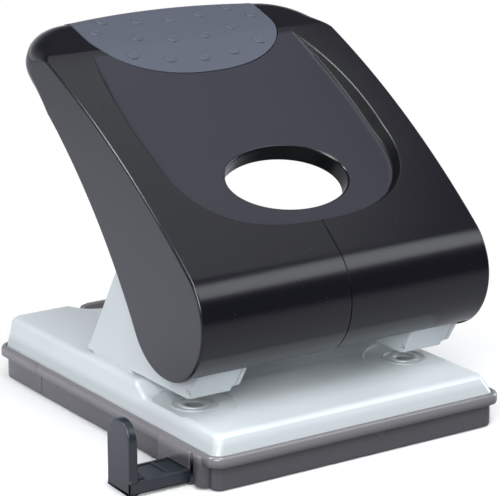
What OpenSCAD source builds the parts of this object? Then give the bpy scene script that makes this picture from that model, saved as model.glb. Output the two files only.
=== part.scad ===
// Heavy duty two-hole paper punch with a long moulded lever.
// X runs across the punch, Y from the paper side to the free end of the lever, Z up.
// The origin is on the surface that the punch stands on, below the middle of the line of holes.

/* [Punching] */
// Distance between the two punched holes
hole_pitch = 80; // [72:1:100]
// Diameter of the punch pins
pin_d = 5.5; // [5:0.1:6]
// Height of the paper slot under the brackets
throat = 5.2; // [4.6:0.1:6.5]
// Depth from the holes back to the paper stop
stop_back = 12; // [10:0.5:14]
// Vertical travel of the pins
pin_travel = 7.5; // [7:0.1:8]

/* [Base] */
// Base plate beyond each hole, sideways
base_side = 12.6; // [12:0.1:20]
// Base plate ahead of the holes
base_front = 31.1; // [28:0.1:40]
// Base plate behind the holes
base_back = 98.6; // [92:0.1:110]
// Plan radius of the base plate's corners
base_corner_r = 3.4; // [3:0.1:8]
// Height of the paper table above the plate's lower edge
table_rise = 6; // [5:0.1:8]
// Height of the paper stop, the step up to the rear platform
stop_h = 4; // [3:0.1:4.4]
// Sheet thickness of the base plate
plate_t = 1.5; // [1.2:0.1:2]
// How far the plate's skirt leans in at the front and sides
skirt_lean = 2.2; // [1.6:0.1:3]
// How far the plate's skirt leans in at the back
rear_lean = 0.8; // [0.4:0.1:2]
// Outside diameter of the die rings
die_d = 14.5; // [13:0.5:17]
// Diameter of the shallow dish round each die
dish_d = 26; // [22:0.5:26]

/* [Tray] */
// Height of the ledge that carries the base plate
ledge_z = 10.8; // [9:0.1:13]
// Underside of the overhanging rim
rim_z = 7.7; // [6.6:0.1:8.2]
// Rim beyond the base plate
rim_out = 1.9; // [1.4:0.1:3]
// Overhang of the rim past the tray wall
rim_lip = 2.2; // [1.8:0.1:2.8]
// Thickness of the tray's walls
tray_wall = 2; // [1.6:0.1:2.4]
// Thickness of the tray's floor
tray_floor = 1; // [1:0.1:1.4]
// Length of the emptying door, from the back of the base plate
door_len = 25.6; // [22:0.1:32]
// Half width of the thumb tab on the door
tab_half_w = 23; // [16:0.5:26]
// Height of the thumb tab above the ledge
tab_rise = 9.2; // [7:0.1:12]

/* [Brackets] */
// Width of one bracket, centred on its hole
bracket_w = 16; // [15.4:0.1:17]
// Extra width on the right of each bracket
bracket_over = 1.4; // [0:0.1:1.4]
// Sheet thickness of the brackets
bracket_t = 1.6; // [1.2:0.1:1.8]
// Bracket's lower edge ahead of the holes
bracket_front = 9.5; // [9:0.1:11]
// Bracket's lower edge behind the holes
bracket_back = 50; // [48:0.5:60]
// Forward lean of the front plate
bracket_lean = 5.5; // [3:0.1:5.6]
// Height of the front plate
front_plate_h = 8.5; // [7:0.1:8.8]
// Radius of the ears round the axle
ear_r = 7; // [6:0.1:7.4]

/* [Lever works] */
// Axle ahead of the holes
axle_ahead = 15; // [14:0.1:16]
// Height of the axle above the brackets' lower edge
axle_rise = 26; // [25:0.1:28]
// Diameter of the axle
axle_d = 6; // [5:0.1:6.5]
// Diameter of the cross pins in the punch heads
drive_pin_d = 3; // [2.5:0.1:3.2]
// Sheet thickness of the lever arms
arm_t = 1.2; // [1:0.1:1.4]
// Wire diameter of the return springs
spring_wire = 0.9; // [0.7:0.05:1]
// Number of spring turns
spring_turns = 6; // [4:0.5:7]

/* [Lever cover] */
// Cover beyond each hole, sideways
cover_side = 13.8; // [13.6:0.1:18]
// Rest angle of the lever above level
lever_tilt = 31.7; // [30:0.1:33]
// Radius of the front roll
roll_r = 20; // [19.5:0.1:22]
// Wall of the cover
cover_wall = 2.2; // [1.8:0.1:2.4]
// Lever length, from the axle to the free end
lever_len = 124.5; // [116:0.5:134]
// Height of the crown of the top over the axle
crown_v = 18.9; // [18.4:0.1:21]
// Depth of the scoop under the crown
scoop_depth = 4.2; // [3.4:0.1:4.6]
// Half width of the scoop
scoop_half_w = 43.5; // [40:0.5:46]
// Width of the oval hole
oval_w = 43; // [38:0.5:48]
// Length of the oval hole along the lever
oval_l = 27.5; // [22:0.5:28]
// Depth of the collar round the oval hole
oval_depth = 6; // [5:0.5:10]
// Half width of the grip pad
pad_half_w = 35; // [30:0.5:38]
// Thickness of the grip pad
pad_t = 1.4; // [1.2:0.1:2]
// How far the pad stands proud
pad_proud = 0.2; // [0.1:0.1:0.6]

/* [Paper guide] */
// Width of the guide's bar
guide_w = 12.6; // [11:0.1:14]
// Thickness of the guide's bar
guide_t = 4; // [3:0.1:4.2]
// Middle of the bar ahead of the holes
guide_ahead = 14.6; // [14:0.1:16]
// How far the upright stands out from the rim
guide_out = 21.2; // [12:0.1:40]
// Height of the upright
guide_h = 23; // [20:0.5:28]
// Length of the bar inside the tray
guide_in = 84; // [60:1:84]

/* [Hidden] */
$fn = 48;

// Fits
slip = 0.02;
run = 0.05;
part_gap = 0.3;
slide_gap = 0.1;
thin = 0.01;
far = 200;

// Heights
table_z = ledge_z + table_rise;
platform_z = table_z + stop_h;
bracket_z = table_z + throat;
web_z = bracket_z + bracket_t;
axle_y = -axle_ahead;
axle_z = bracket_z + axle_rise;

// Base and tray outlines
hole_x = hole_pitch / 2;
base_hw = hole_x + base_side;
rim_hw = base_hw + rim_out;
wall_hw = rim_hw - rim_lip;
crease_drop = 1.2;
crease_in = 1.4;
rear_crease_in = 0.8;
step_run = 6;
dish_depth = 0.4;
die_flange = 0.7;
die_flange_t = 1.5;
die_proud = 0.3;
die_groove = 0.35;
die_cone = 0.6;
die_top = table_z - dish_depth + die_proud;
die_bottom = table_z - plate_t - die_flange_t - slip;
rim_edge = 0.9;
rim_bead = 0.6;
ledge_drop = 0.4;

// Rear notch and the tab in it
notch_hw = tab_half_w - 0.4;
notch_flare = 6;
notch_depth = 11;
tab_t = 2.2;
tab_taper = 3;
tab_shoulder = 1.1;

// Door and its hinge
door_y = base_back - door_len;
hinge_r = 2.4;
hinge_y = door_y + hinge_r + 0.2;
hinge_z = hinge_r;
stub_r = 1.2;
knuckle_r = 2.2;
knuckle_t = 2;
wall_split_y = hinge_y - hinge_r;
door_drop = 0.5;

// Brackets and rivets
inner_hw = bracket_w / 2 - bracket_t;
seat_in = 0.6;
seat_ahead = 6;
seat_front = stop_back + step_run + seat_ahead;
rivet_d = 3;
rivet_head_d = 6;
rivet_head_t = 1.4;
rivet_in = 5;
rivet_back = 8;
rivet_y = [seat_front + rivet_in, bracket_back - rivet_back];
relief = 1.3;
corner_cut = 2.6;
bracket_top_y = 26;
bracket_top_rise = 34;
bracket_shoulder = [32, 29.5];

// Bush, pin, collar and spring stack: the spare width inside a bracket is shared out
spare = inner_hw - pin_d / 2 - spring_wire - arm_t;
side_play = spare * 0.3;
arm_hw = inner_hw - side_play;
arm_in = arm_hw - arm_t;
pin_inset = 1.5;
pin_past = 4.5;
bush_d = 9;
bush_flange_d = 2 * (inner_hw - side_play);
bush_flange_t = 1.6;
bush_h = 11;
bush_top = bracket_z + bush_h;
drive_rise = pin_travel / 2;
drive_z = axle_z + drive_rise;
pin_tip = bracket_z + pin_inset;
pin_top = drive_z + pin_past;
collar_t = 1.2;
collar_below = 5.2;
collar_z = drive_z - collar_below;
spring_out_r = arm_in - side_play;
spring_d = 2 * spring_out_r - spring_wire;
collar_d = 2 * spring_out_r - slide_gap;

// Lever arms, in the lever's own frame with the axle at zero
arm_ear_r = 6.6;
drive_u = axle_ahead * cos(lever_tilt) + drive_rise * sin(lever_tilt);
drive_v = drive_rise * cos(lever_tilt) - axle_ahead * sin(lever_tilt);
slot_half = drive_pin_d / 2 + 0.15;
slot_play = 0.7;
arm_start_u = 14;
arm_waist_u = 36;
arm_tail = 6;
arm_tail_h = 5;
arm_waist_h = 12;
arm_heel = 5;

// Cover profile in the lever's own frame
cover_hw = hole_x + cover_side;
roll_u = 7.7;
roll_v = -5;
roll_top_a = 99;
roll_low_a = -60.5;
nose_r = 5.6;
nose_u = lever_len - nose_r;
nose_v = 4.9;
nose_top_a = 77;
nose_low_a = -97;
shoulder_u = lever_len - 23;
shoulder_v = crown_v - 3.4;
arch_u = shoulder_u - 20.4;
arch_v = -0.3;
top_bow = crown_v - 15.3;
end_bow = 0.55;
arch_bow = 2.8;
tail_bow = 1.8;
ceiling_v = crown_v - scoop_depth - cover_wall;
hollow_top_a = 102;
hollow_low_a = 250;
below_v = -60;
front_lip_z = bracket_z + 9.4;
front_lip_y = -bracket_front - bracket_lean - 1;
front_lip_rise = 2.6;

// Plan of the cover, scoop, oval and pad
end_corner_r = 14;
end_corner_a = 84;
end_sag = 7;
scoop_front_u = 14.3;
scoop_wide_u = 50;
scoop_top_u = shoulder_u - 0.7;
scoop_top_hw = scoop_half_w - 3.5;
scoop_bow = 1.8;
scoop_draft = 3.2;
scoop_power = 2 / 2.6;
scoop_rise = 0.87;
scoop_mid_u = (scoop_front_u + scoop_top_u) / 2;
oval_u = 36.6;
oval_lip = 2.2;
pad_wide_u = lever_len - 15;
pad_low_u = pad_wide_u - 23.4;
pad_foot_v = nose_v - 1;
pad_reach = 4;
pad_blend = 0.35;
pad_room = 3;
pad_power = 2 / 2.2;
pad_gap = 0.05;

// Screws that hold the cover on the arms
boss_d = 7;
boss_h = 3;
arm_top_v = ceiling_v - boss_h;
screw_u = [62, 84];
arm_end_u = screw_u[1] + arm_tail;
screw_d = 3;
screw_head_d = 5.4;
screw_head_t = 1.8;
screw_len = 4.2;

// Paper guide
guide_z = tray_floor + run;
upright_t = 3;
upright_x = -(rim_hw + guide_out);
rail_t = 1.1;
rail_lip = 1.2;
rail_lip_t = 0.9;
guide_y0 = -guide_ahead - guide_w / 2;
guide_y1 = -guide_ahead + guide_w / 2;
guide_top = guide_z + guide_t;
gusset = 3;
field_margin = 1.4;
field_depth = 0.3;
frame_out = 0.8;
frame_past = 5;
post_r = 3.2;
post_foot = 0.6;

// Points from a to b on a curve that bows s to the left, without b
function bow(a, b, s, n = 8) =
    let (d = b - a, left = [-d.y, d.x] / norm(d))
    [for (i = [0:n - 1]) let (t = i / n) a + d * t + left * 4 * s * t * (1 - t)];

// Points round centre c from angle a0 to a1
function arc(c, r, a0, a1, n) =
    [for (i = [0:n]) let (a = a0 + (a1 - a0) * i / n) c + r * [cos(a), sin(a)]];

function mirrored(p) = concat(p, [for (i = [len(p) - 1:-1:0]) [-p[i].x, p[i].y]]);

function rounded(hw, y0, y1, r, n = 6) = concat(
    arc([hw - r, y1 - r], r, 0, 90, n), arc([r - hw, y1 - r], r, 90, 180, n),
    arc([r - hw, y0 + r], r, 180, 270, n), arc([hw - r, y0 + r], r, 270, 360, n));

function grown(out) = rounded(base_hw + out, -base_front - out, base_back + out, base_corner_r + out);

// Side outline (u, v) of the cover
roll_c = [roll_u, roll_v];
nose_c = [nose_u, nose_v];
function on_roll(a) = roll_c + roll_r * [cos(a), sin(a)];
function on_nose(a) = nose_c + nose_r * [cos(a), sin(a)];
cover_profile = concat(
    bow(on_roll(roll_top_a), [shoulder_u, shoulder_v], top_bow, 12),
    bow([shoulder_u, shoulder_v], on_nose(nose_top_a), end_bow, 4),
    arc(nose_c, nose_r, nose_top_a, nose_low_a, 10),
    bow(on_nose(nose_low_a), [arch_u, arch_v], -tail_bow, 6),
    bow([arch_u, arch_v], on_roll(roll_low_a), -arch_bow, 8),
    arc(roll_c, roll_r, roll_low_a, roll_top_a - 360, 28));

// Hollow of the cover, open below
cavity_profile = concat(
    arc(roll_c, roll_r - cover_wall, hollow_top_a, hollow_low_a, 20),
    [[roll_u + roll_r, below_v], [nose_u + 1, below_v], [nose_u + 1, nose_v + 1],
     [nose_u - 2, nose_v + nose_r - cover_wall - 1.2], [shoulder_u - 2, ceiling_v]]);

// Plan outline (x, u) of the cover, drawn in by inset
function cover_plan(inset) =
    let (hw = cover_hw - inset, end_u = lever_len + 1 - inset, r = end_corner_r - inset,
         corner_u = end_u - end_sag - r)
    mirrored(concat([[hw, -40], [hw, corner_u]],
        [for (i = [1:6]) let (a = end_corner_a * i / 6) [hw - r, corner_u] + r * [cos(a), sin(a)]],
        [for (i = [1:6]) let (x = (hw - r) * (1 - i / 6)) [x, end_u - end_sag * pow(x / (hw - r), 2)]]));

// Scoop outline (x, u): a blunt curve in front, drawn in towards the free end
scoop_plan = mirrored(concat(
    bow([scoop_top_hw, scoop_top_u], [scoop_half_w, scoop_wide_u], scoop_bow, 8),
    [for (i = [0:12]) let (a = 90 * i / 12)
        [scoop_half_w * pow(cos(a), scoop_power),
         scoop_wide_u - (scoop_wide_u - scoop_front_u) * pow(sin(a), scoop_power)]]));

function floor_v(u) =
    let (half = (scoop_top_u - scoop_front_u) / 2, dip = scoop_depth - top_bow * scoop_rise)
    crown_v - scoop_depth + dip * pow((u - scoop_mid_u) / half, 2);

// Pad outline (x, u)
function pad_plan(grow) = mirrored(concat(
    [[pad_half_w + grow, lever_len + 10]],
    [for (i = [0:12]) let (a = 90 * i / 12)
        [(pad_half_w + grow) * pow(cos(a), pad_power),
         pad_wide_u - (pad_wide_u - pad_low_u + grow) * pow(sin(a), pad_power)]]));

// Height of the cover's top line at u
function top_v(u) =
    let (a = on_roll(roll_top_a), t = (u - a.x) / (shoulder_u - a.x))
    a.y + (shoulder_v - a.y) * t + 4 * top_bow * t * (1 - t);

// The lower of the scoop's floor and the cover's top, rounded over where they meet
function under_pad_v(u) = -pad_blend * ln(exp(-floor_v(u) / pad_blend) + exp(-top_v(u) / pad_blend));

// Surface under the pad, raised by h
function pad_line(h) = concat(
    [for (i = [0:11])
        let (u = pad_low_u - pad_reach + (shoulder_u - pad_low_u + pad_reach) * i / 12)
        [u, under_pad_v(u) + h]],
    bow([shoulder_u, shoulder_v + h],
        nose_c + (nose_r + h) * [cos(nose_top_a), sin(nose_top_a)], end_bow, 4),
    arc(nose_c, nose_r + h, nose_top_a, -20, 8));

// Solids along X from an outline in (y, z) or (u, v)
module along_x(x0, x1) {
    translate([x0, 0, 0]) rotate([90, 0, 90]) linear_extrude(x1 - x0) children();
}

// Round bar along X
module bar_x(x0, x1, r) {
    translate([x0, 0, 0]) rotate([0, 90, 0]) cylinder(r = r, h = x1 - x0);
}

// Place in the lever's own frame: Y along the lever, Z square to it
module on_lever() {
    translate([0, axle_y, axle_z]) rotate([lever_tilt, 0, 0]) children();
}

module at_hole(side) {
    translate([side * hole_x, 0, 0]) children();
}

// Base plate
module plate_layers(top, inset) {
    foot = inset > 0 ? ledge_z - 1 : ledge_z;
    hull() {
        for (l = [[foot, 0, 0], [top - crease_drop - inset, skirt_lean, rear_lean],
                  [top - inset - thin, skirt_lean + crease_in, rear_lean + rear_crease_in]])
            translate([0, 0, l[0]]) linear_extrude(thin)
                polygon(rounded(base_hw - inset - l[1], inset + l[1] - base_front, base_back - inset - l[2],
                                base_corner_r));
    }
}

module plate_block(inset) {
    plate_layers(table_z, inset);
    intersection() {
        plate_layers(platform_z, inset);
        along_x(-far, far) polygon([[stop_back + inset, 0], [stop_back + inset, table_z - inset],
            [stop_back + inset + step_run, platform_z - inset], [far, platform_z - inset], [far, 0]]);
    }
}

module base_plate() {
    color([0.85, 0.88, 0.89]) difference() {
        union() {
            difference() {
                plate_block(0);
                plate_block(plate_t);
            }
            for (s = [-1, 1]) at_hole(s)
                translate([seat_in - bracket_w / 2, seat_front, platform_z - plate_t])
                    cube([bracket_w - 2 * seat_in, bracket_back - 2 - seat_front,
                          bracket_z - platform_z + plate_t]);
        }
        for (s = [-1, 1]) at_hole(s) {
            translate([0, 0, table_z - dish_depth]) cylinder(d = dish_d, h = far);
            cylinder(r = die_d / 2 + slide_gap, h = far);
            cylinder(r = die_d / 2 + die_flange + slide_gap, h = table_z - plate_t);
            for (y = rivet_y) translate([0, y, 0]) cylinder(r = rivet_d / 2 + slip, h = far);
        }
        linear_extrude(far) polygon(mirrored(concat(
            [[notch_hw + notch_flare, base_back + 1]],
            bow([notch_hw + notch_flare, base_back - 2], [notch_hw - 4, base_back - notch_depth], 2.2, 6),
            [[notch_hw - 4, base_back - notch_depth]])));
    }
}

// Dies
module die(side) {
    color([0.72, 0.74, 0.75]) at_hole(side) difference() {
        union() {
            translate([0, 0, die_bottom]) cylinder(d = die_d, h = die_top - die_bottom);
            translate([0, 0, die_bottom]) cylinder(d = die_d + 2 * die_flange, h = die_flange_t);
        }
        cylinder(r = pin_d / 2 + run, h = far);
        translate([0, 0, die_bottom - thin]) cylinder(r = pin_d / 2 + die_cone, h = die_flange_t);
        translate([0, 0, die_top - die_cone])
            cylinder(r1 = pin_d / 2 + run, r2 = pin_d / 2 + die_cone + die_proud, h = die_cone + thin);
        translate([0, 0, die_top - die_groove]) difference() {
            cylinder(d = die_d - 1.6, h = 1);
            translate([0, 0, -1]) cylinder(d = pin_d + 4, h = 3);
        }
    }
}

// Brackets
side_outline = [[-bracket_front, bracket_z], [bracket_back, bracket_z],
    [bracket_shoulder.x, bracket_z + bracket_shoulder.y], [bracket_top_y, bracket_z + bracket_top_rise],
    [axle_y, axle_z + ear_r], [axle_y, axle_z - ear_r],
    [-bracket_front - bracket_lean, bracket_z + front_plate_h + 5],
    [-bracket_front - bracket_lean, bracket_z + front_plate_h]];

module bracket_cheek(x0) {
    along_x(x0, x0 + bracket_t) polygon(side_outline);
    translate([0, axle_y, axle_z]) bar_x(x0, x0 + bracket_t, ear_r);
}

module bracket(side) {
    left = -bracket_w / 2;
    right = bracket_w / 2 + bracket_over;
    lean_run = bracket_t * 1.2;
    color([0.84, 0.87, 0.88]) at_hole(side) difference() {
        union() {
            bracket_cheek(left);
            bracket_cheek(right - bracket_t);
            translate([left, -bracket_front, bracket_z])
                cube([right - left, bracket_front + bracket_back, bracket_t]);
            along_x(left, right - bracket_t) polygon([[-bracket_front, bracket_z],
                [-bracket_front - bracket_lean, bracket_z + front_plate_h],
                [-bracket_front - bracket_lean + lean_run, bracket_z + front_plate_h],
                [-bracket_front + lean_run, bracket_z]]);
        }
        translate([0, axle_y, axle_z]) bar_x(left - 1, right + 1, axle_d / 2 + slip);
        cylinder(r = bush_d / 2 + slip, h = web_z + 1);
        for (y = rivet_y) translate([0, y, 0]) cylinder(r = rivet_d / 2 + slip, h = web_z + 1);
        translate([left - 1, -bracket_front - 1, web_z]) cube([1 + relief, 1 + relief, relief]);
        along_x(right - bracket_t - 1, right + 1)
            translate([-bracket_front, bracket_z]) polygon([[-corner_cut, -1], [corner_cut, -1],
                [corner_cut, 0], [-corner_cut, corner_cut]]);
    }
}

module bracket_rivets() {
    color([0.70, 0.72, 0.73]) for (s = [-1, 1], y = rivet_y) at_hole(s) translate([0, y, 0]) {
        translate([0, 0, platform_z - plate_t]) cylinder(d = rivet_d, h = web_z - platform_z + plate_t);
        translate([0, 0, web_z]) cylinder(d1 = rivet_head_d, d2 = rivet_head_d * 0.6, h = rivet_head_t);
        translate([0, 0, platform_z - plate_t - rivet_head_t])
            cylinder(d1 = rivet_head_d * 0.6, d2 = rivet_head_d, h = rivet_head_t);
    }
}

// Bushes that guide the pins
module guide_bush(side) {
    color([0.78, 0.68, 0.42]) at_hole(side) difference() {
        union() {
            translate([0, 0, bracket_z + slip]) cylinder(d = bush_d, h = bush_h - slip);
            translate([0, 0, web_z]) cylinder(d = bush_flange_d, h = bush_flange_t);
        }
        cylinder(r = pin_d / 2 + run, h = far);
    }
}

// Axle and its clips
clip_t = 0.8;
clip_play = 0.1;
axle_past = 1.5;
axle_left = -hole_x - bracket_w / 2;
axle_right = hole_x + bracket_w / 2 + bracket_over;

module lever_axle() {
    color([0.68, 0.69, 0.70]) translate([0, axle_y, axle_z])
        bar_x(axle_left - axle_past, axle_right + axle_past, axle_d / 2);
}

module axle_clips() {
    color([0.35, 0.36, 0.37]) for (x = [axle_left - clip_play - clip_t, axle_right + clip_play])
        translate([x, axle_y, axle_z]) difference() {
            bar_x(0, clip_t, axle_d / 2 + 2);
            bar_x(-1, clip_t + 1, axle_d / 2 + slip);
            translate([-1, -axle_d * 0.35, -far]) cube([clip_t + 2, axle_d * 0.7, far]);
        }
}

// Tray and its emptying door, cut from one moulding
module tray_rim() {
    hull() for (l = [[rim_z, rim_edge], [rim_z + rim_edge, 0], [ledge_z - ledge_drop, 0],
                     [ledge_z + rim_bead, rim_edge]])
        translate([0, 0, l[0]]) linear_extrude(thin) polygon(grown(rim_out - l[1]));
}

module tray_shell() {
    wall_out = rim_out - rim_lip;
    difference() {
        union() {
            linear_extrude(rim_z + rim_edge) polygon(grown(wall_out));
            tray_rim();
        }
        translate([0, 0, tray_floor]) linear_extrude(far) polygon(grown(wall_out - tray_wall));
        translate([0, 0, ledge_z]) linear_extrude(far) polygon(grown(part_gap));
    }
}

module door_cut(gap) {
    along_x(-far, far) difference() {
        polygon([[wall_split_y + gap, -1], [far, -1], [far, far], [door_y + gap, far],
            [door_y + gap, rim_z - 2 * part_gap + gap], [wall_split_y + gap, rim_z - 2 * part_gap + gap]]);
        translate([hinge_y - far, -far]) square([far, far + hinge_z - thin]);
    }
    translate([0, hinge_y, hinge_z]) bar_x(-far, far, hinge_r - gap);
}

// Thickened outlet of the guide, with a round post ahead of it
module guide_frame() {
    front = guide_y0 - slide_gap;
    left = -rim_hw - frame_out;
    top = ledge_z - ledge_drop;
    translate([left, front, 0]) cube([tray_wall - wall_hw - left, guide_y1 + frame_past - front, top]);
    translate([left + post_r, front - post_r, post_foot]) cylinder(r = post_r, h = top - post_foot);
}

module guide_slot() {
    translate([-far, guide_y0 - slide_gap, tray_floor])
        cube([far, guide_w + 2 * slide_gap, guide_top + slide_gap - tray_floor]);
}

module tray_rails() {
    top = guide_top + slide_gap;
    for (r = [[guide_y0 - slide_gap, -1], [guide_y1 + slide_gap, 1]])
        along_x(tray_wall - wall_hw - thin, wall_hw - 20) polygon([[r[0], tray_floor - thin], [r[0], top],
            [r[0] - r[1] * rail_lip, top], [r[0] - r[1] * rail_lip, top + rail_lip_t],
            [r[0] + r[1] * rail_t, top + rail_lip_t], [r[0] + r[1] * rail_t, tray_floor - thin]]);
}

module hinge_ear(x0) {
    translate([x0, wall_split_y - 7, tray_floor - thin])
        cube([knuckle_t, hinge_y - wall_split_y + 7, hinge_z + knuckle_r - tray_floor]);
    translate([0, hinge_y, hinge_z]) bar_x(x0, x0 + knuckle_t, knuckle_r);
}

ear_x = wall_hw - tray_wall - 0.5 - knuckle_t;

module chip_tray() {
    color([0.42, 0.40, 0.40, 0.85]) difference() {
        union() {
            difference() {
                union() {
                    tray_shell();
                    guide_frame();
                }
                door_cut(-part_gap);
                translate([0, 0, ledge_z]) linear_extrude(far) polygon(grown(part_gap));
            }
            tray_rails();
            hinge_ear(ear_x);
            hinge_ear(-ear_x - knuckle_t);
        }
        guide_slot();
        translate([0, hinge_y, hinge_z])
            bar_x(-ear_x - knuckle_t - 1, ear_x + knuckle_t + 1, stub_r + run);
    }
}

module chip_door() {
    inner = wall_hw - tray_wall;
    tab_y = base_back - tab_t + part_gap;
    tab_z = ledge_z + tab_rise;
    color([0.42, 0.40, 0.40, 0.85]) {
        difference() {
            intersection() {
                tray_shell();
                door_cut(0);
            }
            translate([0, 0, ledge_z - door_drop]) linear_extrude(far) polygon(grown(part_gap));
            for (s = [-1, 1]) translate([s > 0 ? ear_x - part_gap : -inner - thin, wall_split_y - 1, -1])
                cube([inner - ear_x + part_gap + thin,
                      hinge_y - wall_split_y + 1 + knuckle_r + part_gap, rim_z]);
        }
        for (s = [-1, 1]) translate([0, hinge_y, hinge_z])
            bar_x(s > 0 ? ear_x : -inner - 0.5, s > 0 ? inner + 0.5 : -ear_x, stub_r);
        translate([0, tab_y + tab_t, 0]) rotate([90, 0, 0]) linear_extrude(tab_t) polygon(mirrored([
            [tab_half_w, rim_z + 1], [tab_half_w, tab_z - tab_shoulder], [tab_half_w - tab_taper, tab_z]]));
    }
}

// Paper guide
module paper_guide() {
    inner_x = upright_x + upright_t;
    field = (guide_out - upright_t - gusset) / 2;
    color([0.22, 0.26, 0.30]) difference() {
        union() {
            translate([upright_x, guide_y0, guide_z])
                cube([guide_out + rim_out + guide_in, guide_w, guide_t]);
            along_x(upright_x, inner_x) {
                translate([guide_y0, guide_z]) square([guide_w, guide_h - guide_w / 2 - guide_z]);
                translate([-guide_ahead, guide_h - guide_w / 2]) circle(d = guide_w);
            }
            translate([0, guide_y1 - 1, 0]) rotate([90, 0, 0]) linear_extrude(guide_w - 2)
                polygon([[inner_x - thin, guide_top - thin], [inner_x + gusset, guide_top - thin],
                    [inner_x - thin, guide_top + gusset]]);
        }
        for (i = [0, 1])
            translate([inner_x + gusset + i * (field + 1), guide_y0 + field_margin,
                       guide_top - field_depth]) cube([field, guide_w - 2 * field_margin, 1]);
    }
}

// Lever cover
module cover_outer() {
    intersection() {
        along_x(-cover_hw, cover_hw) polygon(cover_profile);
        translate([0, 0, -60]) linear_extrude(120) polygon(cover_plan(0));
    }
}

module cover_hollow() {
    inner = cover_hw - cover_wall;
    intersection() {
        along_x(-inner, inner) polygon(cavity_profile);
        translate([0, 0, -70]) linear_extrude(140) polygon(cover_plan(cover_wall));
    }
}

module scoop() {
    inset = 1 - scoop_draft / scoop_half_w;
    intersection() {
        translate([0, scoop_mid_u, crown_v - scoop_depth - 0.5])
            linear_extrude(scoop_depth + 1, scale = 1 / inset)
                scale(inset) translate([0, -scoop_mid_u]) polygon(scoop_plan);
        along_x(-far, far) polygon(concat([for (i = [0:10])
            let (u = scoop_front_u - 6 + (scoop_top_u - scoop_front_u + 12) * i / 10) [u, floor_v(u)]],
            [[scoop_top_u + 6, crown_v + 5], [scoop_front_u - 6, crown_v + 5]]));
    }
}

function oval(grow) = [for (i = [0:47]) let (a = 7.5 * i)
    [(oval_w / 2 + grow) * cos(a), oval_u + (oval_l / 2 + grow) * sin(a)]];

module pad_space(grow, rise) {
    intersection() {
        along_x(-far, far)
            polygon(concat(pad_line(pad_proud + rise),
                [[nose_u, below_v], [pad_low_u - pad_reach, below_v]]));
        translate([0, 0, -60]) linear_extrude(120) polygon(pad_plan(grow));
        translate([0, 0, pad_foot_v - grow]) linear_extrude(60) polygon(cover_plan(-grow));
    }
}

module under_pad() {
    along_x(-far, far) polygon(concat(pad_line(pad_proud - pad_t), [[nose_u, below_v],
        [pad_low_u - 10, below_v], [pad_low_u - 10, floor_v(pad_low_u) + pad_proud - pad_t]]));
}

module lever_cover() {
    color([0.19, 0.19, 0.20]) difference() {
        on_lever() difference() {
            union() {
                difference() {
                    cover_outer();
                    cover_hollow();
                }
                intersection() {
                    translate([0, 0, floor_v(oval_u) - oval_depth]) linear_extrude(oval_depth)
                        polygon(oval(oval_lip));
                    cover_outer();
                }
                for (s = [-1, 1], u = screw_u) translate([s * hole_x, u, arm_top_v])
                    cylinder(d = boss_d, h = boss_h + 1);
            }
            scoop();
            translate([0, 0, -60]) linear_extrude(120) polygon(oval(0));
            difference() {
                pad_space(pad_gap, pad_room);
                under_pad();
            }
            for (s = [-1, 1], u = screw_u) translate([s * hole_x, u, arm_top_v - 1])
                cylinder(r = screw_d / 2 + slip, h = screw_len + 1 - arm_t + slip);
        }
        translate([cover_wall - cover_hw, front_lip_y, 0])
            cube([2 * (cover_hw - cover_wall), 2 * roll_r, front_lip_z + front_lip_rise]);
        translate([cover_wall - cover_hw, -far / 2, 0])
            cube([2 * (cover_hw - cover_wall), far / 2, front_lip_z]);
    }
}

module grip_pad() {
    color([0.37, 0.38, 0.44]) on_lever() difference() {
        pad_space(0, 0);
        under_pad();
    }
}

// Steel arms that carry the cover and push the pins
module arm_cheek(x0) {
    along_x(x0, x0 + arm_t) polygon([[0, arm_ear_r], [arm_start_u, arm_top_v], [arm_end_u, arm_top_v],
        [arm_end_u, arm_top_v - arm_tail_h], [arm_waist_u, arm_top_v - arm_waist_h],
        [drive_u + arm_heel, drive_v - arm_heel / 2], [drive_u - 1, drive_v - arm_heel], [0, -arm_ear_r]]);
    bar_x(x0, x0 + arm_t, arm_ear_r);
}

module lever_arm(side) {
    slot_a = atan2(drive_v, drive_u);
    color([0.60, 0.62, 0.63]) on_lever() translate([side * hole_x, 0, 0]) difference() {
        union() {
            arm_cheek(-arm_hw);
            arm_cheek(arm_in);
            translate([-arm_hw, arm_start_u, arm_top_v - arm_t])
                cube([2 * arm_hw, arm_end_u - arm_start_u, arm_t]);
        }
        bar_x(-far, far, axle_d / 2 + run);
        rotate([slot_a, 0, 0]) translate([0, norm([drive_u, drive_v]), 0]) {
            for (d = [-slot_play, slot_play])
                translate([0, d, 0]) bar_x(-arm_hw - 1, arm_hw + 1, slot_half);
            translate([-arm_hw - 1, -slot_play, -slot_half])
                cube([2 * arm_hw + 2, 2 * slot_play, 2 * slot_half]);
        }
        for (u = screw_u) translate([0, u, arm_top_v - arm_t - 1])
            cylinder(r = screw_d / 2 + slip, h = arm_t + 2);
    }
}

module cover_screws() {
    color([0.55, 0.56, 0.57]) on_lever() for (s = [-1, 1], u = screw_u)
        translate([s * hole_x, u, arm_top_v - arm_t]) {
            cylinder(d = screw_d, h = screw_len);
            translate([0, 0, -screw_head_t])
                cylinder(d1 = screw_head_d * 0.7, d2 = screw_head_d, h = screw_head_t);
        }
}

// Punch pin with its cross pin, collar and spring
module punch_pin(side) {
    color([0.75, 0.76, 0.77]) at_hole(side) difference() {
        translate([0, 0, pin_tip]) cylinder(d = pin_d, h = pin_top - pin_tip);
        translate([0, 0, drive_z]) bar_x(-pin_d, pin_d, drive_pin_d / 2 + slip);
        translate([0, 0, pin_tip - 0.2]) rotate([90, 0, 0]) translate([0, 0, -pin_d])
            cylinder(d = pin_d * 0.44, h = 2 * pin_d);
    }
}

module drive_pin(side) {
    color([0.66, 0.67, 0.68]) at_hole(side) translate([0, 0, drive_z])
        bar_x(-inner_hw + part_gap, inner_hw - part_gap, drive_pin_d / 2);
}

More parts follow.
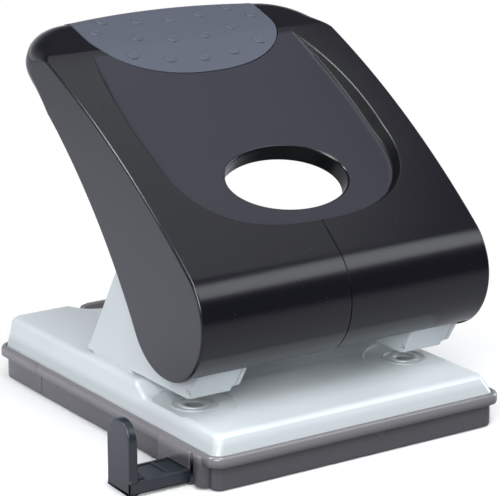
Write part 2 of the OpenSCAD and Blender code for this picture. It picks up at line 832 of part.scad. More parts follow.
module spring_collar(side) {
    color([0.50, 0.51, 0.52]) at_hole(side) translate([0, 0, collar_z]) difference() {
        cylinder(d = collar_d, h = collar_t);
        translate([0, 0, -1]) cylinder(r = pin_d / 2 + slip, h = collar_t + 2);
    }
}

spring_low = bush_top + spring_wire / 2 + slip;
spring_high = collar_z - spring_wire / 2 - slip;
function spring_point(t) =
    [spring_d / 2 * cos(360 * spring_turns * t), spring_d / 2 * sin(360 * spring_turns * t),
     spring_low + (spring_high - spring_low) * t];

module punch_spring(side) {
    rings = 8 * spring_turns;
    sides = 6;
    pitch_a = atan((spring_high - spring_low) / (spring_turns * PI * spring_d));
    points = [for (i = [0:rings], j = [0:sides - 1])
        let (a = 360 * spring_turns * i / rings, b = 360 * j / sides, r = spring_wire / 2,
             side_in = [cos(a), sin(a), 0],
             up = [sin(a) * sin(pitch_a), -cos(a) * sin(pitch_a), cos(pitch_a)])
        spring_point(i / rings) + r * cos(b) * side_in + r * sin(b) * up];
    skin = [for (i = [0:rings - 1], j = [0:sides - 1])
        let (p = i * sides + j, q = i * sides + (j + 1) % sides)
        each [[p, q, p + sides], [q, q + sides, p + sides]]];
    caps = [for (j = [1:sides - 2]) each [[0, j + 1, j],
        [rings * sides, rings * sides + j, rings * sides + j + 1]]];
    color([0.62, 0.63, 0.64]) at_hole(side) polyhedron(points, concat(skin, caps));
}
spring_gap = (spring_high - spring_low) / spring_turns - spring_wire;
echo(spring_gap_between_turns = spring_gap);

base_plate();
die(-1);  // die_left
die(1);  // die_right
bracket(-1);  // bracket_left
bracket(1);  // bracket_right
bracket_rivets();
guide_bush(-1);  // guide_bush_left
guide_bush(1);  // guide_bush_right
lever_axle();
axle_clips();
chip_tray();
lever_cover();
grip_pad();
lever_arm(-1);  // lever_arm_left
lever_arm(1);  // lever_arm_right
cover_screws();
punch_pin(-1);  // punch_pin_left
drive_pin(-1);  // drive_pin_left
spring_collar(-1);  // spring_collar_left
punch_spring(-1);  // punch_spring_left
punch_pin(1);  // punch_pin_right
drive_pin(1);  // drive_pin_right
spring_collar(1);  // spring_collar_right
punch_spring(1);  // punch_spring_right
paper_guide();
chip_door();
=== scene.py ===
import math

import bmesh
import bpy
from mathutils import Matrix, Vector


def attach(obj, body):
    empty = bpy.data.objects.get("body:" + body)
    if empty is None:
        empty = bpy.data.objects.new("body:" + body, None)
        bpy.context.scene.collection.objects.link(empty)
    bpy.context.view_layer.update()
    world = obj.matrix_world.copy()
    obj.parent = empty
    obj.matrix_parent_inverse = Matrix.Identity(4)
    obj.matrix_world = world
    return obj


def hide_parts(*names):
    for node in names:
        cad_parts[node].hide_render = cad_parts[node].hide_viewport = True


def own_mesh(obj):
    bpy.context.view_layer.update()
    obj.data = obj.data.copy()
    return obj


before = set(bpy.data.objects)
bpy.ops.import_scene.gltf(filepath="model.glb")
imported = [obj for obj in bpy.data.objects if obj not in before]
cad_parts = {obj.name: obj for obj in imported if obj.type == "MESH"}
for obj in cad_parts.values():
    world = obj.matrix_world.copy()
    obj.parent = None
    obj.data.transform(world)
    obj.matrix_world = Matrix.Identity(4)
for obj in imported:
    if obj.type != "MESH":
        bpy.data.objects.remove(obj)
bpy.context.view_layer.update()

MM = 0.001

# Sizes of the punch, in millimetres
HOLE_X = 40.0
BASE_HW, BASE_FRONT, BASE_BACK, BASE_CORNER = 52.6, 31.1, 98.6, 3.4
LEDGE_Z, TABLE_Z, PLATFORM_Z, PLATE_T = 10.8, 16.8, 20.8, 1.5
STOP_Y, STEP_RUN = 12.0, 6.0
RIM_Z, RIM_OUT, RIM_LIP, TRAY_WALL, TRAY_FLOOR = 7.7, 1.9, 2.2, 2.0, 1.0
PART_GAP = 0.3
DOOR_Y, HINGE_Y, HINGE_Z, HINGE_R = 73.0, 75.6, 2.4, 2.4
AXLE_Y, AXLE_Z, LEVER_TILT = -15.0, 48.0, math.radians(31.7)
BUSH_TOP, COLLAR_Z = 33.0, 46.55
COVER_HW, LEVER_LEN, COVER_WALL = 53.8, 124.5, 2.2
END_CORNER, END_SAG, END_FLARE = 20.0, 2.9, 0.010
END_ROUND, END_ROUND_LOW, END_FALL, END_FAR = 6.0, 4.5, 0.24, 131.0


# Selecting and editing by hand

def deselect():
    if bpy.context.mode != "OBJECT":
        bpy.ops.object.mode_set(mode="OBJECT")
    bpy.ops.object.select_all(action="DESELECT")


def activate(piece):
    deselect()
    piece.select_set(True)
    bpy.context.view_layer.objects.active = piece


def edit(piece, kind="VERT"):
    activate(piece)
    bpy.ops.object.mode_set(mode="EDIT")
    bpy.ops.mesh.select_mode(type=kind)
    bpy.ops.mesh.select_all(action="SELECT")


def leave():
    bpy.ops.object.mode_set(mode="OBJECT")


def face_out(piece):
    edit(piece)
    bpy.ops.mesh.normals_make_consistent(inside=False)
    leave()


def apply_modifiers(piece):
    activate(piece)
    for name in [m.name for m in piece.modifiers]:
        bpy.ops.object.modifier_apply(modifier=name)


def bevel(piece, width, segments=3, angle=30, clamp=True):
    m = piece.modifiers.new("edges", "BEVEL")
    m.width = width * MM
    m.segments = segments
    m.limit_method = "ANGLE"
    m.angle_limit = math.radians(angle)
    m.use_clamp_overlap = clamp
    m.miter_outer = "MITER_ARC"
    apply_modifiers(piece)


def pick_edges(piece, test):
    """Leaves edit mode on, with the edges selected that pass the test, which gets their two ends in mm."""
    edit(piece, "EDGE")
    bpy.ops.mesh.select_all(action="DESELECT")
    mesh = bmesh.from_edit_mesh(piece.data)
    for e in mesh.edges:
        if len(e.link_faces) == 2 and test(e, e.verts[0].co / MM, e.verts[1].co / MM):
            e.select_set(True)
    bmesh.update_edit_mesh(piece.data)


def smooth(piece, angle=32):
    activate(piece)
    bpy.ops.object.shade_smooth_by_angle(angle=math.radians(angle))


def cut(piece, tool, kind="DIFFERENCE"):
    m = piece.modifiers.new("cut", "BOOLEAN")
    m.operation = kind
    m.solver = "EXACT"
    m.object = tool
    apply_modifiers(piece)
    bpy.data.objects.remove(tool)
    return piece


def twin(piece, name, shift):
    """A second one of a finished shape, moved by shift (mm), with a mesh of its own."""
    activate(piece)
    bpy.ops.object.duplicate_move(TRANSFORM_OT_translate={"value": Vector(shift) * MM})
    other = bpy.context.object
    other.name = name
    settle(other)
    return other


def join(*pieces):
    activate(pieces[0])
    for p in pieces[1:]:
        p.select_set(True)
    bpy.ops.object.join()
    return pieces[0]


def settle(piece):
    """Puts the place, turn and size of an object into its mesh."""
    activate(piece)
    bpy.ops.object.transform_apply(location=True, rotation=True, scale=True)


def prism(name, points, depth):
    """A many-sided face through the points (mm), drawn out along depth (mm)."""
    deselect()
    bpy.ops.mesh.primitive_circle_add(vertices=len(points), radius=MM, fill_type="NGON")
    piece = bpy.context.object
    piece.name = name
    for v, p in zip(piece.data.vertices, points):
        v.co = Vector(p) * MM
    edit(piece)
    bpy.ops.mesh.extrude_region_move(TRANSFORM_OT_translate={"value": Vector(depth) * MM})
    leave()
    face_out(piece)
    return piece


def rod(name, radius, start, end, sides=48):
    """A round bar between two points (mm) that lie on one axis."""
    start, end = Vector(start), Vector(end)
    span = end - start
    deselect()
    bpy.ops.mesh.primitive_cylinder_add(vertices=sides, radius=radius * MM, depth=span.length * MM,
                                        location=(start + end) / 2 * MM,
                                        rotation=span.to_track_quat("Z", "Y").to_euler())
    piece = bpy.context.object
    piece.name = name
    settle(piece)
    return piece


def block(name, low, high):
    low, high = Vector(low), Vector(high)
    deselect()
    bpy.ops.mesh.primitive_cube_add(size=1, location=(low + high) / 2 * MM)
    piece = bpy.context.object
    piece.name = name
    piece.scale = (high - low) * MM
    settle(piece)
    return piece


def loft(name, rings, closed=False, fill_first=None, fill_last=None):
    """A ring of points (mm) extruded edge by edge through the rings that follow.

    An end is left open, or filled with one face ("FACE") or a grid (its first corner's place and its span).
    """
    deselect()
    bpy.ops.mesh.primitive_circle_add(vertices=len(rings[0]), radius=MM, fill_type="NOTHING")
    piece = bpy.context.object
    piece.name = name
    for v, p in zip(piece.data.vertices, rings[0]):
        v.co = Vector(p) * MM
    edit(piece)
    place = {i: i for i in range(len(rings[0]))}
    first = dict(place)
    for ring in rings[1:] + ([rings[0]] if closed else []):
        bpy.ops.mesh.extrude_edges_move()
        mesh = bmesh.from_edit_mesh(piece.data)
        mesh.verts.index_update()
        grown = {}
        for v in mesh.verts:
            if v.select:
                under = next(w for w in (e.other_vert(v) for e in v.link_edges) if not w.select)
                grown[v.index] = place[under.index]
                v.co = Vector(ring[place[under.index]]) * MM
        place = grown
        bmesh.update_edit_mesh(piece.data)
    for fill, group in ((fill_first, first), (fill_last, place)):
        if fill:
            bpy.ops.mesh.select_all(action="DESELECT")
            mesh = bmesh.from_edit_mesh(piece.data)
            mesh.verts.ensure_lookup_table()
            for i in group:
                mesh.verts[i].select_set(True)
            mesh.select_flush(True)
            if fill != "FACE":
                start = next(i for i, k in group.items() if k == fill[0])
                mesh.select_history.clear()
                mesh.select_history.add(mesh.verts[start])
            bmesh.update_edit_mesh(piece.data)
            if fill == "FACE":
                bpy.ops.mesh.edge_face_add()
            else:
                bpy.ops.mesh.fill_grid(span=fill[1], offset=0)
    bpy.ops.mesh.select_all(action="SELECT")
    if closed:
        bpy.ops.mesh.remove_doubles(threshold=1e-6)
    bpy.ops.mesh.normals_make_consistent(inside=False)
    leave()
    return piece


def tube(name, points, radius, sides=8, closed=False):
    """A round bead along points (mm)."""
    path = bpy.data.curves.new(name, "CURVE")
    path.dimensions = "3D"
    path.bevel_depth = radius * MM
    path.bevel_resolution = max(1, sides // 4)
    path.use_fill_caps = True
    line = path.splines.new("POLY")
    line.points.add(len(points) - 1)
    line.use_cyclic_u = closed
    for p, q in zip(line.points, points):
        p.co = (q[0] * MM, q[1] * MM, q[2] * MM, 1)
    piece = bpy.data.objects.new(name, path)
    bpy.context.scene.collection.objects.link(piece)
    activate(piece)
    bpy.ops.object.convert(target="MESH")
    face_out(piece)
    return piece


def copy_node(node, name, flat=0.6):
    """A CAD solid's mesh as a new piece, its triangles merged back into whole faces."""
    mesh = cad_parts[node].data.copy()
    mesh.materials.clear()
    piece = bpy.data.objects.new(name, mesh)
    bpy.context.scene.collection.objects.link(piece)
    activate(piece)
    if mesh.has_custom_normals:
        bpy.ops.mesh.customdata_custom_splitnormals_clear()
    edit(piece)
    bpy.ops.mesh.remove_doubles(threshold=2e-6)
    bpy.ops.mesh.dissolve_limited(angle_limit=math.radians(flat))
    leave()
    return piece


def hand_in(piece, body, finish, nodes=(), angle=32):
    """Last steps of a piece: shading, finish, the body that it rides on and the solids that it stands for."""
    smooth(piece, angle)
    even = piece.modifiers.new("even", "WEIGHTED_NORMAL")
    even.keep_sharp = True
    even.weight = 60
    apply_modifiers(piece)
    piece.data.materials.clear()
    piece.data.materials.append(finish)
    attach(piece, body)
    if nodes:
        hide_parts(*nodes)
    return piece


# Curves

def bow(a, b, s, n):
    """Points from a to b, without b, on a curve that bows s to the left."""
    a, b = Vector(a), Vector(b)
    d = b - a
    left = Vector((-d.y, d.x)).normalized()
    return [a + d * t + left * (4 * s * t * (1 - t)) for t in (i / n for i in range(n))]


def arc(c, r, a0, a1, n):
    angles = [math.radians(a0 + (a1 - a0) * i / n) for i in range(n + 1)]
    return [Vector((c[0] + r * math.cos(a), c[1] + r * math.sin(a))) for a in angles]


def mirrored(points):
    return list(points) + [Vector((-p[0], p[1])) for p in reversed(points)]


def from_lever(p):
    """The lever's own x, u and v of a point in the punch's frame."""
    s, c = math.sin(LEVER_TILT), math.cos(LEVER_TILT)
    y, z = p[1] - AXLE_Y, p[2] - AXLE_Z
    return p[0], y * c + z * s, z * c - y * s


def circle(x, y, z, r, n=72):
    return [(x + r * math.cos(2 * math.pi * i / n), y + r * math.sin(2 * math.pi * i / n), z) for i in range(n)]


def on_lever(x, u, v):
    """A point of the lever's own frame (axle at zero, u along the lever) in the punch's frame."""
    s, c = math.sin(LEVER_TILT), math.cos(LEVER_TILT)
    return Vector((x, AXLE_Y + u * c - v * s, AXLE_Z + u * s + v * c))


# Node groups and finishes

def group_sockets(tree, ins, outs):
    for name, kind, value in ins:
        socket = tree.interface.new_socket(name, in_out="INPUT", socket_type=kind)
        if value is not None:
            socket.default_value = value
    for name, kind in outs:
        tree.interface.new_socket(name, in_out="OUTPUT", socket_type=kind)
    return tree.nodes.new("NodeGroupInput"), tree.nodes.new("NodeGroupOutput")


def make_grain_group():
    """Fine moulded or sprayed grain: a height for a bump and a small spread of roughness and shade."""
    tree = bpy.data.node_groups.new("surface_grain", "ShaderNodeTree")
    gin, gout = group_sockets(
        tree,
        [("Vector", "NodeSocketVector", None), ("Grain Scale", "NodeSocketFloat", 1500.0),
         ("Mottle Scale", "NodeSocketFloat", 60.0), ("Roughness", "NodeSocketFloat", 0.4),
         ("Spread", "NodeSocketFloat", 0.08), ("Color A", "NodeSocketColor", (0.5, 0.5, 0.5, 1)),
         ("Color B", "NodeSocketColor", (0.5, 0.5, 0.5, 1)), ("Specks", "NodeSocketFloat", 0.0)],
        [("Color", "NodeSocketColor"), ("Roughness", "NodeSocketFloat"), ("Height", "NodeSocketFloat")])
    grain = tree.nodes.new("ShaderNodeTexNoise")
    grain.inputs["Detail"].default_value = 2.0
    mottle = tree.nodes.new("ShaderNodeTexNoise")
    mottle.inputs["Detail"].default_value = 4.0
    tint = tree.nodes.new("ShaderNodeMix")
    tint.data_type = "RGBA"
    dust = tree.nodes.new("ShaderNodeTexVoronoi")
    dust.inputs["Scale"].default_value = 260.0
    speck = tree.nodes.new("ShaderNodeMapRange")
    speck.inputs["From Min"].default_value = 0.055
    speck.inputs["From Max"].default_value = 0.03
    amount = tree.nodes.new("ShaderNodeMath")
    amount.operation = "MULTIPLY"
    dusty = tree.nodes.new("ShaderNodeMix")
    dusty.data_type = "RGBA"
    dusty.inputs["B"].default_value = (0.42, 0.42, 0.43, 1)
    spread = tree.nodes.new("ShaderNodeMath")
    spread.operation = "SUBTRACT"
    spread.inputs[1].default_value = 0.5
    scaled = tree.nodes.new("ShaderNodeMath")
    scaled.operation = "MULTIPLY_ADD"
    link = tree.links.new
    link(gin.outputs["Vector"], grain.inputs["Vector"])
    link(gin.outputs["Vector"], mottle.inputs["Vector"])
    link(gin.outputs["Grain Scale"], grain.inputs["Scale"])
    link(gin.outputs["Mottle Scale"], mottle.inputs["Scale"])
    link(mottle.outputs["Fac"], tint.inputs["Factor"])
    link(gin.outputs["Color A"], tint.inputs["A"])
    link(gin.outputs["Color B"], tint.inputs["B"])
    link(mottle.outputs["Fac"], spread.inputs[0])
    link(spread.outputs[0], scaled.inputs[0])
    link(gin.outputs["Spread"], scaled.inputs[1])
    link(gin.outputs["Roughness"], scaled.inputs[2])
    link(gin.outputs["Vector"], dust.inputs["Vector"])
    link(dust.outputs["Distance"], speck.inputs["Value"])
    link(speck.outputs["Result"], amount.inputs[0])
    link(gin.outputs["Specks"], amount.inputs[1])
    link(amount.outputs[0], dusty.inputs["Factor"])
    link(tint.outputs["Result"], dusty.inputs["A"])
    link(dusty.outputs["Result"], gout.inputs["Color"])
    link(scaled.outputs[0], gout.inputs["Roughness"])
    link(grain.outputs["Fac"], gout.inputs["Height"])
    return tree


GRAIN = make_grain_group()


def new_finish(name):
    finish = bpy.data.materials.new(name)
    finish.use_nodes = True
    tree = finish.node_tree
    return finish, tree, tree.nodes["Principled BSDF"]


def grained(name, color_a, color_b, rough, spread, grain_scale, bump, mottle_scale=60.0, metal=0.0, stretch=None, specks=0.0):
    """A finish with grain, mottle and a bump; stretch draws the grain out along an axis."""
    finish, tree, shader = new_finish(name)
    where = tree.nodes.new("ShaderNodeTexCoord")
    grain = tree.nodes.new("ShaderNodeGroup")
    grain.node_tree = GRAIN
    grain.inputs["Grain Scale"].default_value = grain_scale
    grain.inputs["Mottle Scale"].default_value = mottle_scale
    grain.inputs["Roughness"].default_value = rough
    grain.inputs["Spread"].default_value = spread
    grain.inputs["Color A"].default_value = (*color_a, 1)
    grain.inputs["Color B"].default_value = (*color_b, 1)
    grain.inputs["Specks"].default_value = specks
    lift = tree.nodes.new("ShaderNodeBump")
    lift.inputs["Strength"].default_value = bump
    lift.inputs["Distance"].default_value = 0.0002
    if stretch:
        turn = tree.nodes.new("ShaderNodeMapping")
        turn.inputs["Scale"].default_value = stretch
        tree.links.new(where.outputs["Object"], turn.inputs["Vector"])
        tree.links.new(turn.outputs["Vector"], grain.inputs["Vector"])
    else:
        tree.links.new(where.outputs["Object"], grain.inputs["Vector"])
    tree.links.new(grain.outputs["Color"], shader.inputs["Base Color"])
    tree.links.new(grain.outputs["Roughness"], shader.inputs["Roughness"])
    tree.links.new(grain.outputs["Height"], lift.inputs["Height"])
    tree.links.new(lift.outputs["Normal"], shader.inputs["Normal"])
    shader.inputs["Metallic"].default_value = metal
    return finish, tree, shader


def painted_light_by_height(tree, shader, start, end, tint):
    """Painted light and shade: blends a finish's colour into a lighter or darker tone between two heights (mm) of the
    punch, standing in for how light falls there.
    """
    where = tree.nodes.new("ShaderNodeTexCoord")
    axes = tree.nodes.new("ShaderNodeSeparateXYZ")
    share = tree.nodes.new("ShaderNodeMapRange")
    share.interpolation_type = "SMOOTHSTEP"
    share.inputs["From Min"].default_value = start * MM
    share.inputs["From Max"].default_value = end * MM
    blend = tree.nodes.new("ShaderNodeMix")
    blend.data_type = "RGBA"
    blend.inputs["B"].default_value = (*tint, 1)
    before = shader.inputs["Base Color"].links[0].from_socket
    tree.links.new(where.outputs["Object"], axes.inputs[0])
    tree.links.new(axes.outputs["Z"], share.inputs["Value"])
    tree.links.new(share.outputs["Result"], blend.inputs["Factor"])
    tree.links.new(before, blend.inputs["A"])
    tree.links.new(blend.outputs["Result"], shader.inputs["Base Color"])


def make_finishes():
    finishes = {}
    finishes["paint"], tree, shader = grained("light_grey_enamel", (0.70, 0.745, 0.765), (0.655, 0.70, 0.72),
                                              0.34, 0.10, 420.0, 0.05)
    # Painted shade: the enamel turns darker below the table's height, down the skirt to its foot, standing in for less
    # light reaching there.
    painted_light_by_height(tree, shader, 16.2, 13.0, (0.50, 0.535, 0.55))
    shader.inputs["Coat Weight"].default_value = 0.5
    shader.inputs["Coat Roughness"].default_value = 0.10
    finishes["black"], _, shader = grained("black_lever_plastic", (0.0060, 0.0060, 0.0095), (0.0048, 0.0048, 0.0075),
                                           0.20, 0.05, 1900.0, 0.04, specks=0.12)
    shader.inputs["Specular IOR Level"].default_value = 0.49
    finishes["satin"], _, shader = grained("black_scoop_satin", (0.020, 0.020, 0.030), (0.016, 0.016, 0.025),
                                           0.48, 0.08, 1700.0, 0.15, specks=0.12)
    shader.inputs["Specular IOR Level"].default_value = 0.49
    # Painted shade: a deeper, less shiny black for the walls of the scoop and the oval hole, standing in for the shade
    # inside them.
    finishes["hole"], _, shader = grained("shade_painted_black_wall", (0.004, 0.004, 0.005), (0.003, 0.003, 0.004),
                                          0.30, 0.06, 1500.0, 0.05)
    shader.inputs["Specular IOR Level"].default_value = 0.2
    finishes["pad"], _, _ = grained("grip_rubber", (0.078, 0.087, 0.117), (0.067, 0.074, 0.101),
                                    0.58, 0.10, 1600.0, 0.25)
    finishes["smoke"], tree, shader = grained("smoky_tray_plastic", (0.080, 0.074, 0.083), (0.060, 0.056, 0.065),
                                              0.26, 0.10, 900.0, 0.04, 24.0)
    # Painted light: the smoky plastic turns paler up the rim, standing in for light showing through and off the rim.
    painted_light_by_height(tree, shader, 7.4, 10.4, (0.20, 0.19, 0.20))
    shader.inputs["Coat Weight"].default_value = 0.4
    shader.inputs["Coat Roughness"].default_value = 0.08
    finishes["slate"], _, shader = grained("slate_guide_plastic", (0.014, 0.019, 0.028), (0.010, 0.014, 0.021),
                                           0.34, 0.10, 1400.0, 0.12)
    shader.inputs["Specular IOR Level"].default_value = 0.75
    finishes["tool_steel"], _, _ = grained("ground_tool_steel", (0.62, 0.64, 0.65), (0.54, 0.55, 0.56),
                                           0.42, 0.14, 700.0, 0.06, metal=1.0)
    finishes["die"], _, _ = grained("satin_die_steel", (0.66, 0.70, 0.71), (0.60, 0.63, 0.64),
                                    0.40, 0.12, 700.0, 0.06, metal=0.35)
    finishes["zinc"], _, _ = grained("zinc_plated_steel", (0.56, 0.57, 0.58), (0.47, 0.48, 0.48),
                                     0.34, 0.14, 500.0, 0.08, metal=1.0)
    finishes["spring"], _, _ = grained("oiled_spring_steel", (0.30, 0.31, 0.32), (0.22, 0.23, 0.24),
                                       0.32, 0.14, 600.0, 0.06, metal=1.0)
    finishes["brass"], _, _ = grained("turned_brass", (0.62, 0.48, 0.24), (0.52, 0.39, 0.18),
                                      0.30, 0.12, 600.0, 0.08, metal=1.0)
    return finishes


FINISH = make_finishes()


# Base plate

def base_ring(out, height, rear=None, corner=None):
    """Ring round the base at a distance out from its edge; height is a number or a function of y."""
    r = BASE_CORNER + out if corner is None else corner
    hw, front, back = BASE_HW + out, -BASE_FRONT - out, BASE_BACK + (out if rear is None else rear)
    xs = [HALF_X[0] + (HALF_X[1] - HALF_X[0]) * i / X_STEPS for i in range(X_STEPS + 1)]
    turn = lambda cx, cy, a0: [(cx + r * math.cos(math.radians(a0 + 90 * i / CORNER_STEPS)),
                                cy + r * math.sin(math.radians(a0 + 90 * i / CORNER_STEPS)))
                               for i in range(1, CORNER_STEPS)]
    flat = [(hw, y) for y in SIDE_Y] + turn(hw - r, back - r, 0)
    flat += [(x, back) for x in reversed(xs)] + turn(r - hw, back - r, 90)
    flat += [(-hw, y) for y in reversed(SIDE_Y)] + turn(r - hw, front + r, 180)
    flat += [(x, front) for x in xs] + turn(hw - r, front + r, 270)
    level = height if callable(height) else (lambda y: height)
    return [(x, y, level(y)) for x, y in flat]


CORNER_STEPS = 8
X_STEPS = 30
HALF_X = (-44.5, 44.5)
SIDE_Y = ([-23.0 + 2.8 * i for i in range(11)] + [6.0 + 0.8 * i for i in range(21)]
          + [25.0 + 4.0 * i for i in range(17)] + [92.5])


def step_up(y):
    """Height of the plate's top at y: the table, the paper stop's soft step, the platform."""
    t = min(1.0, max(0.0, (y - STOP_Y + 0.8) / (STEP_RUN + 1.2)))
    return TABLE_Z + (PLATFORM_Z - TABLE_Z) * t * t * (3 - 2 * t)


def make_base_plate():
    lean, roll, rear_roll, soft = 1.9, 2.3, 1.9, 0.85
    under, over = [], []
    for i in range(7):
        a = math.radians(90 * i / 6)
        x, z = 1 - math.cos(a), 1 - math.sin(a)
        over.append(base_ring(-lean - roll * x, lambda y, z=z: step_up(y) - roll * soft * z,
                              -0.4 - rear_roll * x, BASE_CORNER))
        under.append(base_ring(-lean - PLATE_T - (roll - PLATE_T) * x,
                               lambda y, z=z: step_up(y) - PLATE_T - (roll * soft - PLATE_T) * z,
                               -0.4 - PLATE_T - (rear_roll - PLATE_T) * x, BASE_CORNER - PLATE_T))
    foot = LEDGE_Z + 0.02
    rings = list(reversed(under)) + [
        base_ring(-PLATE_T, foot, corner=BASE_CORNER - PLATE_T), base_ring(0.0, foot),
        base_ring(-0.12, foot + 0.5, -0.05, BASE_CORNER),
        base_ring(-lean * 0.6, lambda y: foot + 0.5 + (step_up(y) - foot - 0.5) * 0.4, -0.25, BASE_CORNER)] + over
    grid = (len(SIDE_Y) + CORNER_STEPS // 2 - 1, X_STEPS + CORNER_STEPS)
    plate = loft("base_plate_painted", rings, fill_first=grid, fill_last=grid)
    for x in (-HOLE_X, HOLE_X):
        seat = block("seat", (x - 7.4, 24, 19.6), (x + 7.4, 48, 22))
        bevel(seat, 0.5, 2)
        cut(plate, seat, "UNION")
        dish = [circle(x, 0, z, r) for z, r in ((16.4, 12.6), (16.48, 12.95), (16.8, 13.3), (40, 13.3))]
        cut(plate, loft("dish", dish, fill_first="FACE", fill_last="FACE"))
        cut(plate, rod("die_hole", 7.35, (x, 0, 5), (x, 0, 30), 72))
        cut(plate, rod("flange_room", 8.05, (x, 0, 5), (x, 0, 15.3), 72))
        for y in (29, 42):
            cut(plate, rod("rivet_hole", 1.52, (x, y, 5), (x, y, 30), 24))
    notch = [Vector((28.6, 99.6))] + bow((28.6, 96.6), (18.6, 87.6), 2.2, 16) + [Vector((18.6, 87.6))]
    cut(plate, prism("thumb_notch", [(p.x, p.y, 5) for p in mirrored(notch)], (0, 0, 40)))
    return plate


# Tray, door and paper guide

def tray_moulding(name):
    wall = RIM_OUT - RIM_LIP
    path = [(wall - 0.9, 0.0), (wall - 0.3, 0.22), (wall, 0.9), (wall, RIM_Z - 0.35), (wall + 0.3, RIM_Z),
            (RIM_OUT - 0.7, RIM_Z), (RIM_OUT - 0.2, RIM_Z + 0.22), (RIM_OUT, RIM_Z + 0.8), (RIM_OUT, 10.1),
            (RIM_OUT - 0.14, 10.65), (RIM_OUT - 0.5, 11.15), (RIM_OUT - 1.0, 11.4), (PART_GAP + 0.2, 11.4),
            (PART_GAP, 11.2), (PART_GAP, LEDGE_Z), (wall - TRAY_WALL, LEDGE_Z),
            (wall - TRAY_WALL, TRAY_FLOOR + 0.6), (wall - TRAY_WALL - 0.5, TRAY_FLOOR)]
    return loft(name, [base_ring(out, z) for out, z in path], fill_first="FACE", fill_last="FACE")


def door_prism(gap):
    outline = [(HINGE_Y, -1), (200, -1), (200, 200), (DOOR_Y + gap, 200), (DOOR_Y + gap, 7.1 + gap),
               (HINGE_Y - HINGE_R + gap, 7.1 + gap)]
    outline += [(p.x, p.y) for p in arc((HINGE_Y, HINGE_Z), HINGE_R - gap, 180, 270, 16)]
    return prism("door_room", [(-200, y, z) for y, z in outline], (400, 0, 0))


def plate_room(z):
    return prism("plate_room", base_ring(PART_GAP, z), (0, 0, 60))


def make_tray():
    tray = tray_moulding("chip_tray_moulded")
    outlet = block("outlet", (-55.3, -21.0, 0.0), (-50.3, -3.3, 10.4))
    bevel(outlet, 0.45, 3)
    cut(tray, outlet, "UNION")
    post = rod("post", 3.2, (-52.1, -24.2, 0.6), (-52.1, -24.2, 10.4), 64)
    bevel(post, 0.6, 3)
    cut(tray, post, "UNION")
    cut(tray, door_prism(-PART_GAP))
    cut(tray, plate_room(LEDGE_Z))
    for y, way in ((-21.0, -1), (-8.2, 1)):
        rail = [(y, 0.99), (y, 5.15), (y - way * 1.2, 5.15), (y - way * 1.2, 6.05), (y + way * 1.1, 6.05),
                (y + way * 1.1, 0.99)]
        cut(tray, prism("rail", [(-50.31, q, z) for q, z in rail], (82.6, 0, 0)), "UNION")
    for x in (EAR_X, -EAR_X - 2):
        ear = block("ear", (x, 66.2, 0.99), (x + 2, HINGE_Y, 4.6))
        cut(ear, rod("knuckle", 2.2, (x, HINGE_Y, HINGE_Z), (x + 2, HINGE_Y, HINGE_Z), 40), "UNION")
        cut(tray, ear, "UNION")
    cut(tray, block("guide_slot", (-200, -21.0, 1.0), (0, -8.2, 5.15)))
    cut(tray, rod("pivot_hole", 1.25, (-60, HINGE_Y, HINGE_Z), (60, HINGE_Y, HINGE_Z), 32))
    return tray


EAR_X = 47.8


def make_door():
    inner = BASE_HW + RIM_OUT - RIM_LIP - TRAY_WALL
    door = tray_moulding("chip_door_moulded")
    cut(door, door_prism(0), "INTERSECT")
    cut(door, plate_room(LEDGE_Z - 0.5))
    for low, high in ((EAR_X - 0.3, inner + 0.01), (-inner - 0.01, 0.3 - EAR_X)):
        cut(door, block("ear_room", (low, 72.2, -1), (high, 78.1, 6.7)))
    for low, high in ((EAR_X, inner + 0.5), (-inner - 0.5, -EAR_X)):
        cut(door, rod("stub", 1.2, (low, HINGE_Y, HINGE_Z), (high, HINGE_Y, HINGE_Z), 32), "UNION")
    tab = prism("tab", [(p.x, 96.7, p.y) for p in mirrored([Vector(q) for q in (
        (23, 8.7), (23, 18.9), (22.2, 19.5), (20, 20))])], (0, 2.2, 0))
    bevel(tab, 0.5, 3)
    cut(door, tab, "UNION")
    return door


def make_guide():
    guide = block("paper_guide_moulded", (-75.7, -20.9, 1.05), (31.4, -8.3, 5.05))
    upright = [(-20.9, 1.05), (-8.3, 1.05)] + [(q.x, q.y) for q in arc((-14.6, 16.7), 6.3, 0, 180, 40)]
    cut(guide, prism("upright", [(-75.7, y, z) for y, z in upright], (3, 0, 0)), "UNION")
    bevel(guide, 0.5, 3, 40)
    gusset = prism("gusset", [(-73, -9.3, 4.9), (-69.7, -9.3, 5.0), (-73, -9.3, 8.3)], (0, -10.6, 0))
    bevel(gusset, 0.2, 2, 40)
    cut(guide, gusset, "UNION")
    for x in (-69.4, -60.8):
        cut(guide, block("field", (x, -19.5, 4.75), (x + 7.4, -9.7, 6)))
    return guide


def make_bracket():
    """Left bracket: a gap line beside the right cheek and a wider bend down the left front edge."""
    piece = copy_node("bracket_left", "bracket_left_painted")
    foot, head = Vector((-9.5, 22.0)), Vector((-15.0, 30.5))
    along = (head - foot).normalized()
    out = Vector((-along.y, along.x))
    line = [foot + out * 0.6 - along, head + out * 0.6 + along, head - out * 0.5 + along, foot - out * 0.5 - along]
    cut(piece, prism("gap_line", [(-32.4, q.x, q.y) for q in line], (0.35, 0, 0)))

    def on_bend(e, p, q):
        for end in (p, q):
            away = Vector((end.y, end.z)) - foot
            if abs(end.x + 48) > 0.05 or abs(away.dot(out)) > 0.1 or not -0.5 < away.dot(along) < 11:
                return False
        return e.calc_face_angle(0) > math.radians(50)
    pick_edges(piece, on_bend)
    bpy.ops.mesh.bevel(offset=1.0 * MM, segments=5, affect="EDGES", loop_slide=False)
    leave()
    bevel(piece, 0.25, 2, 40)
    return piece


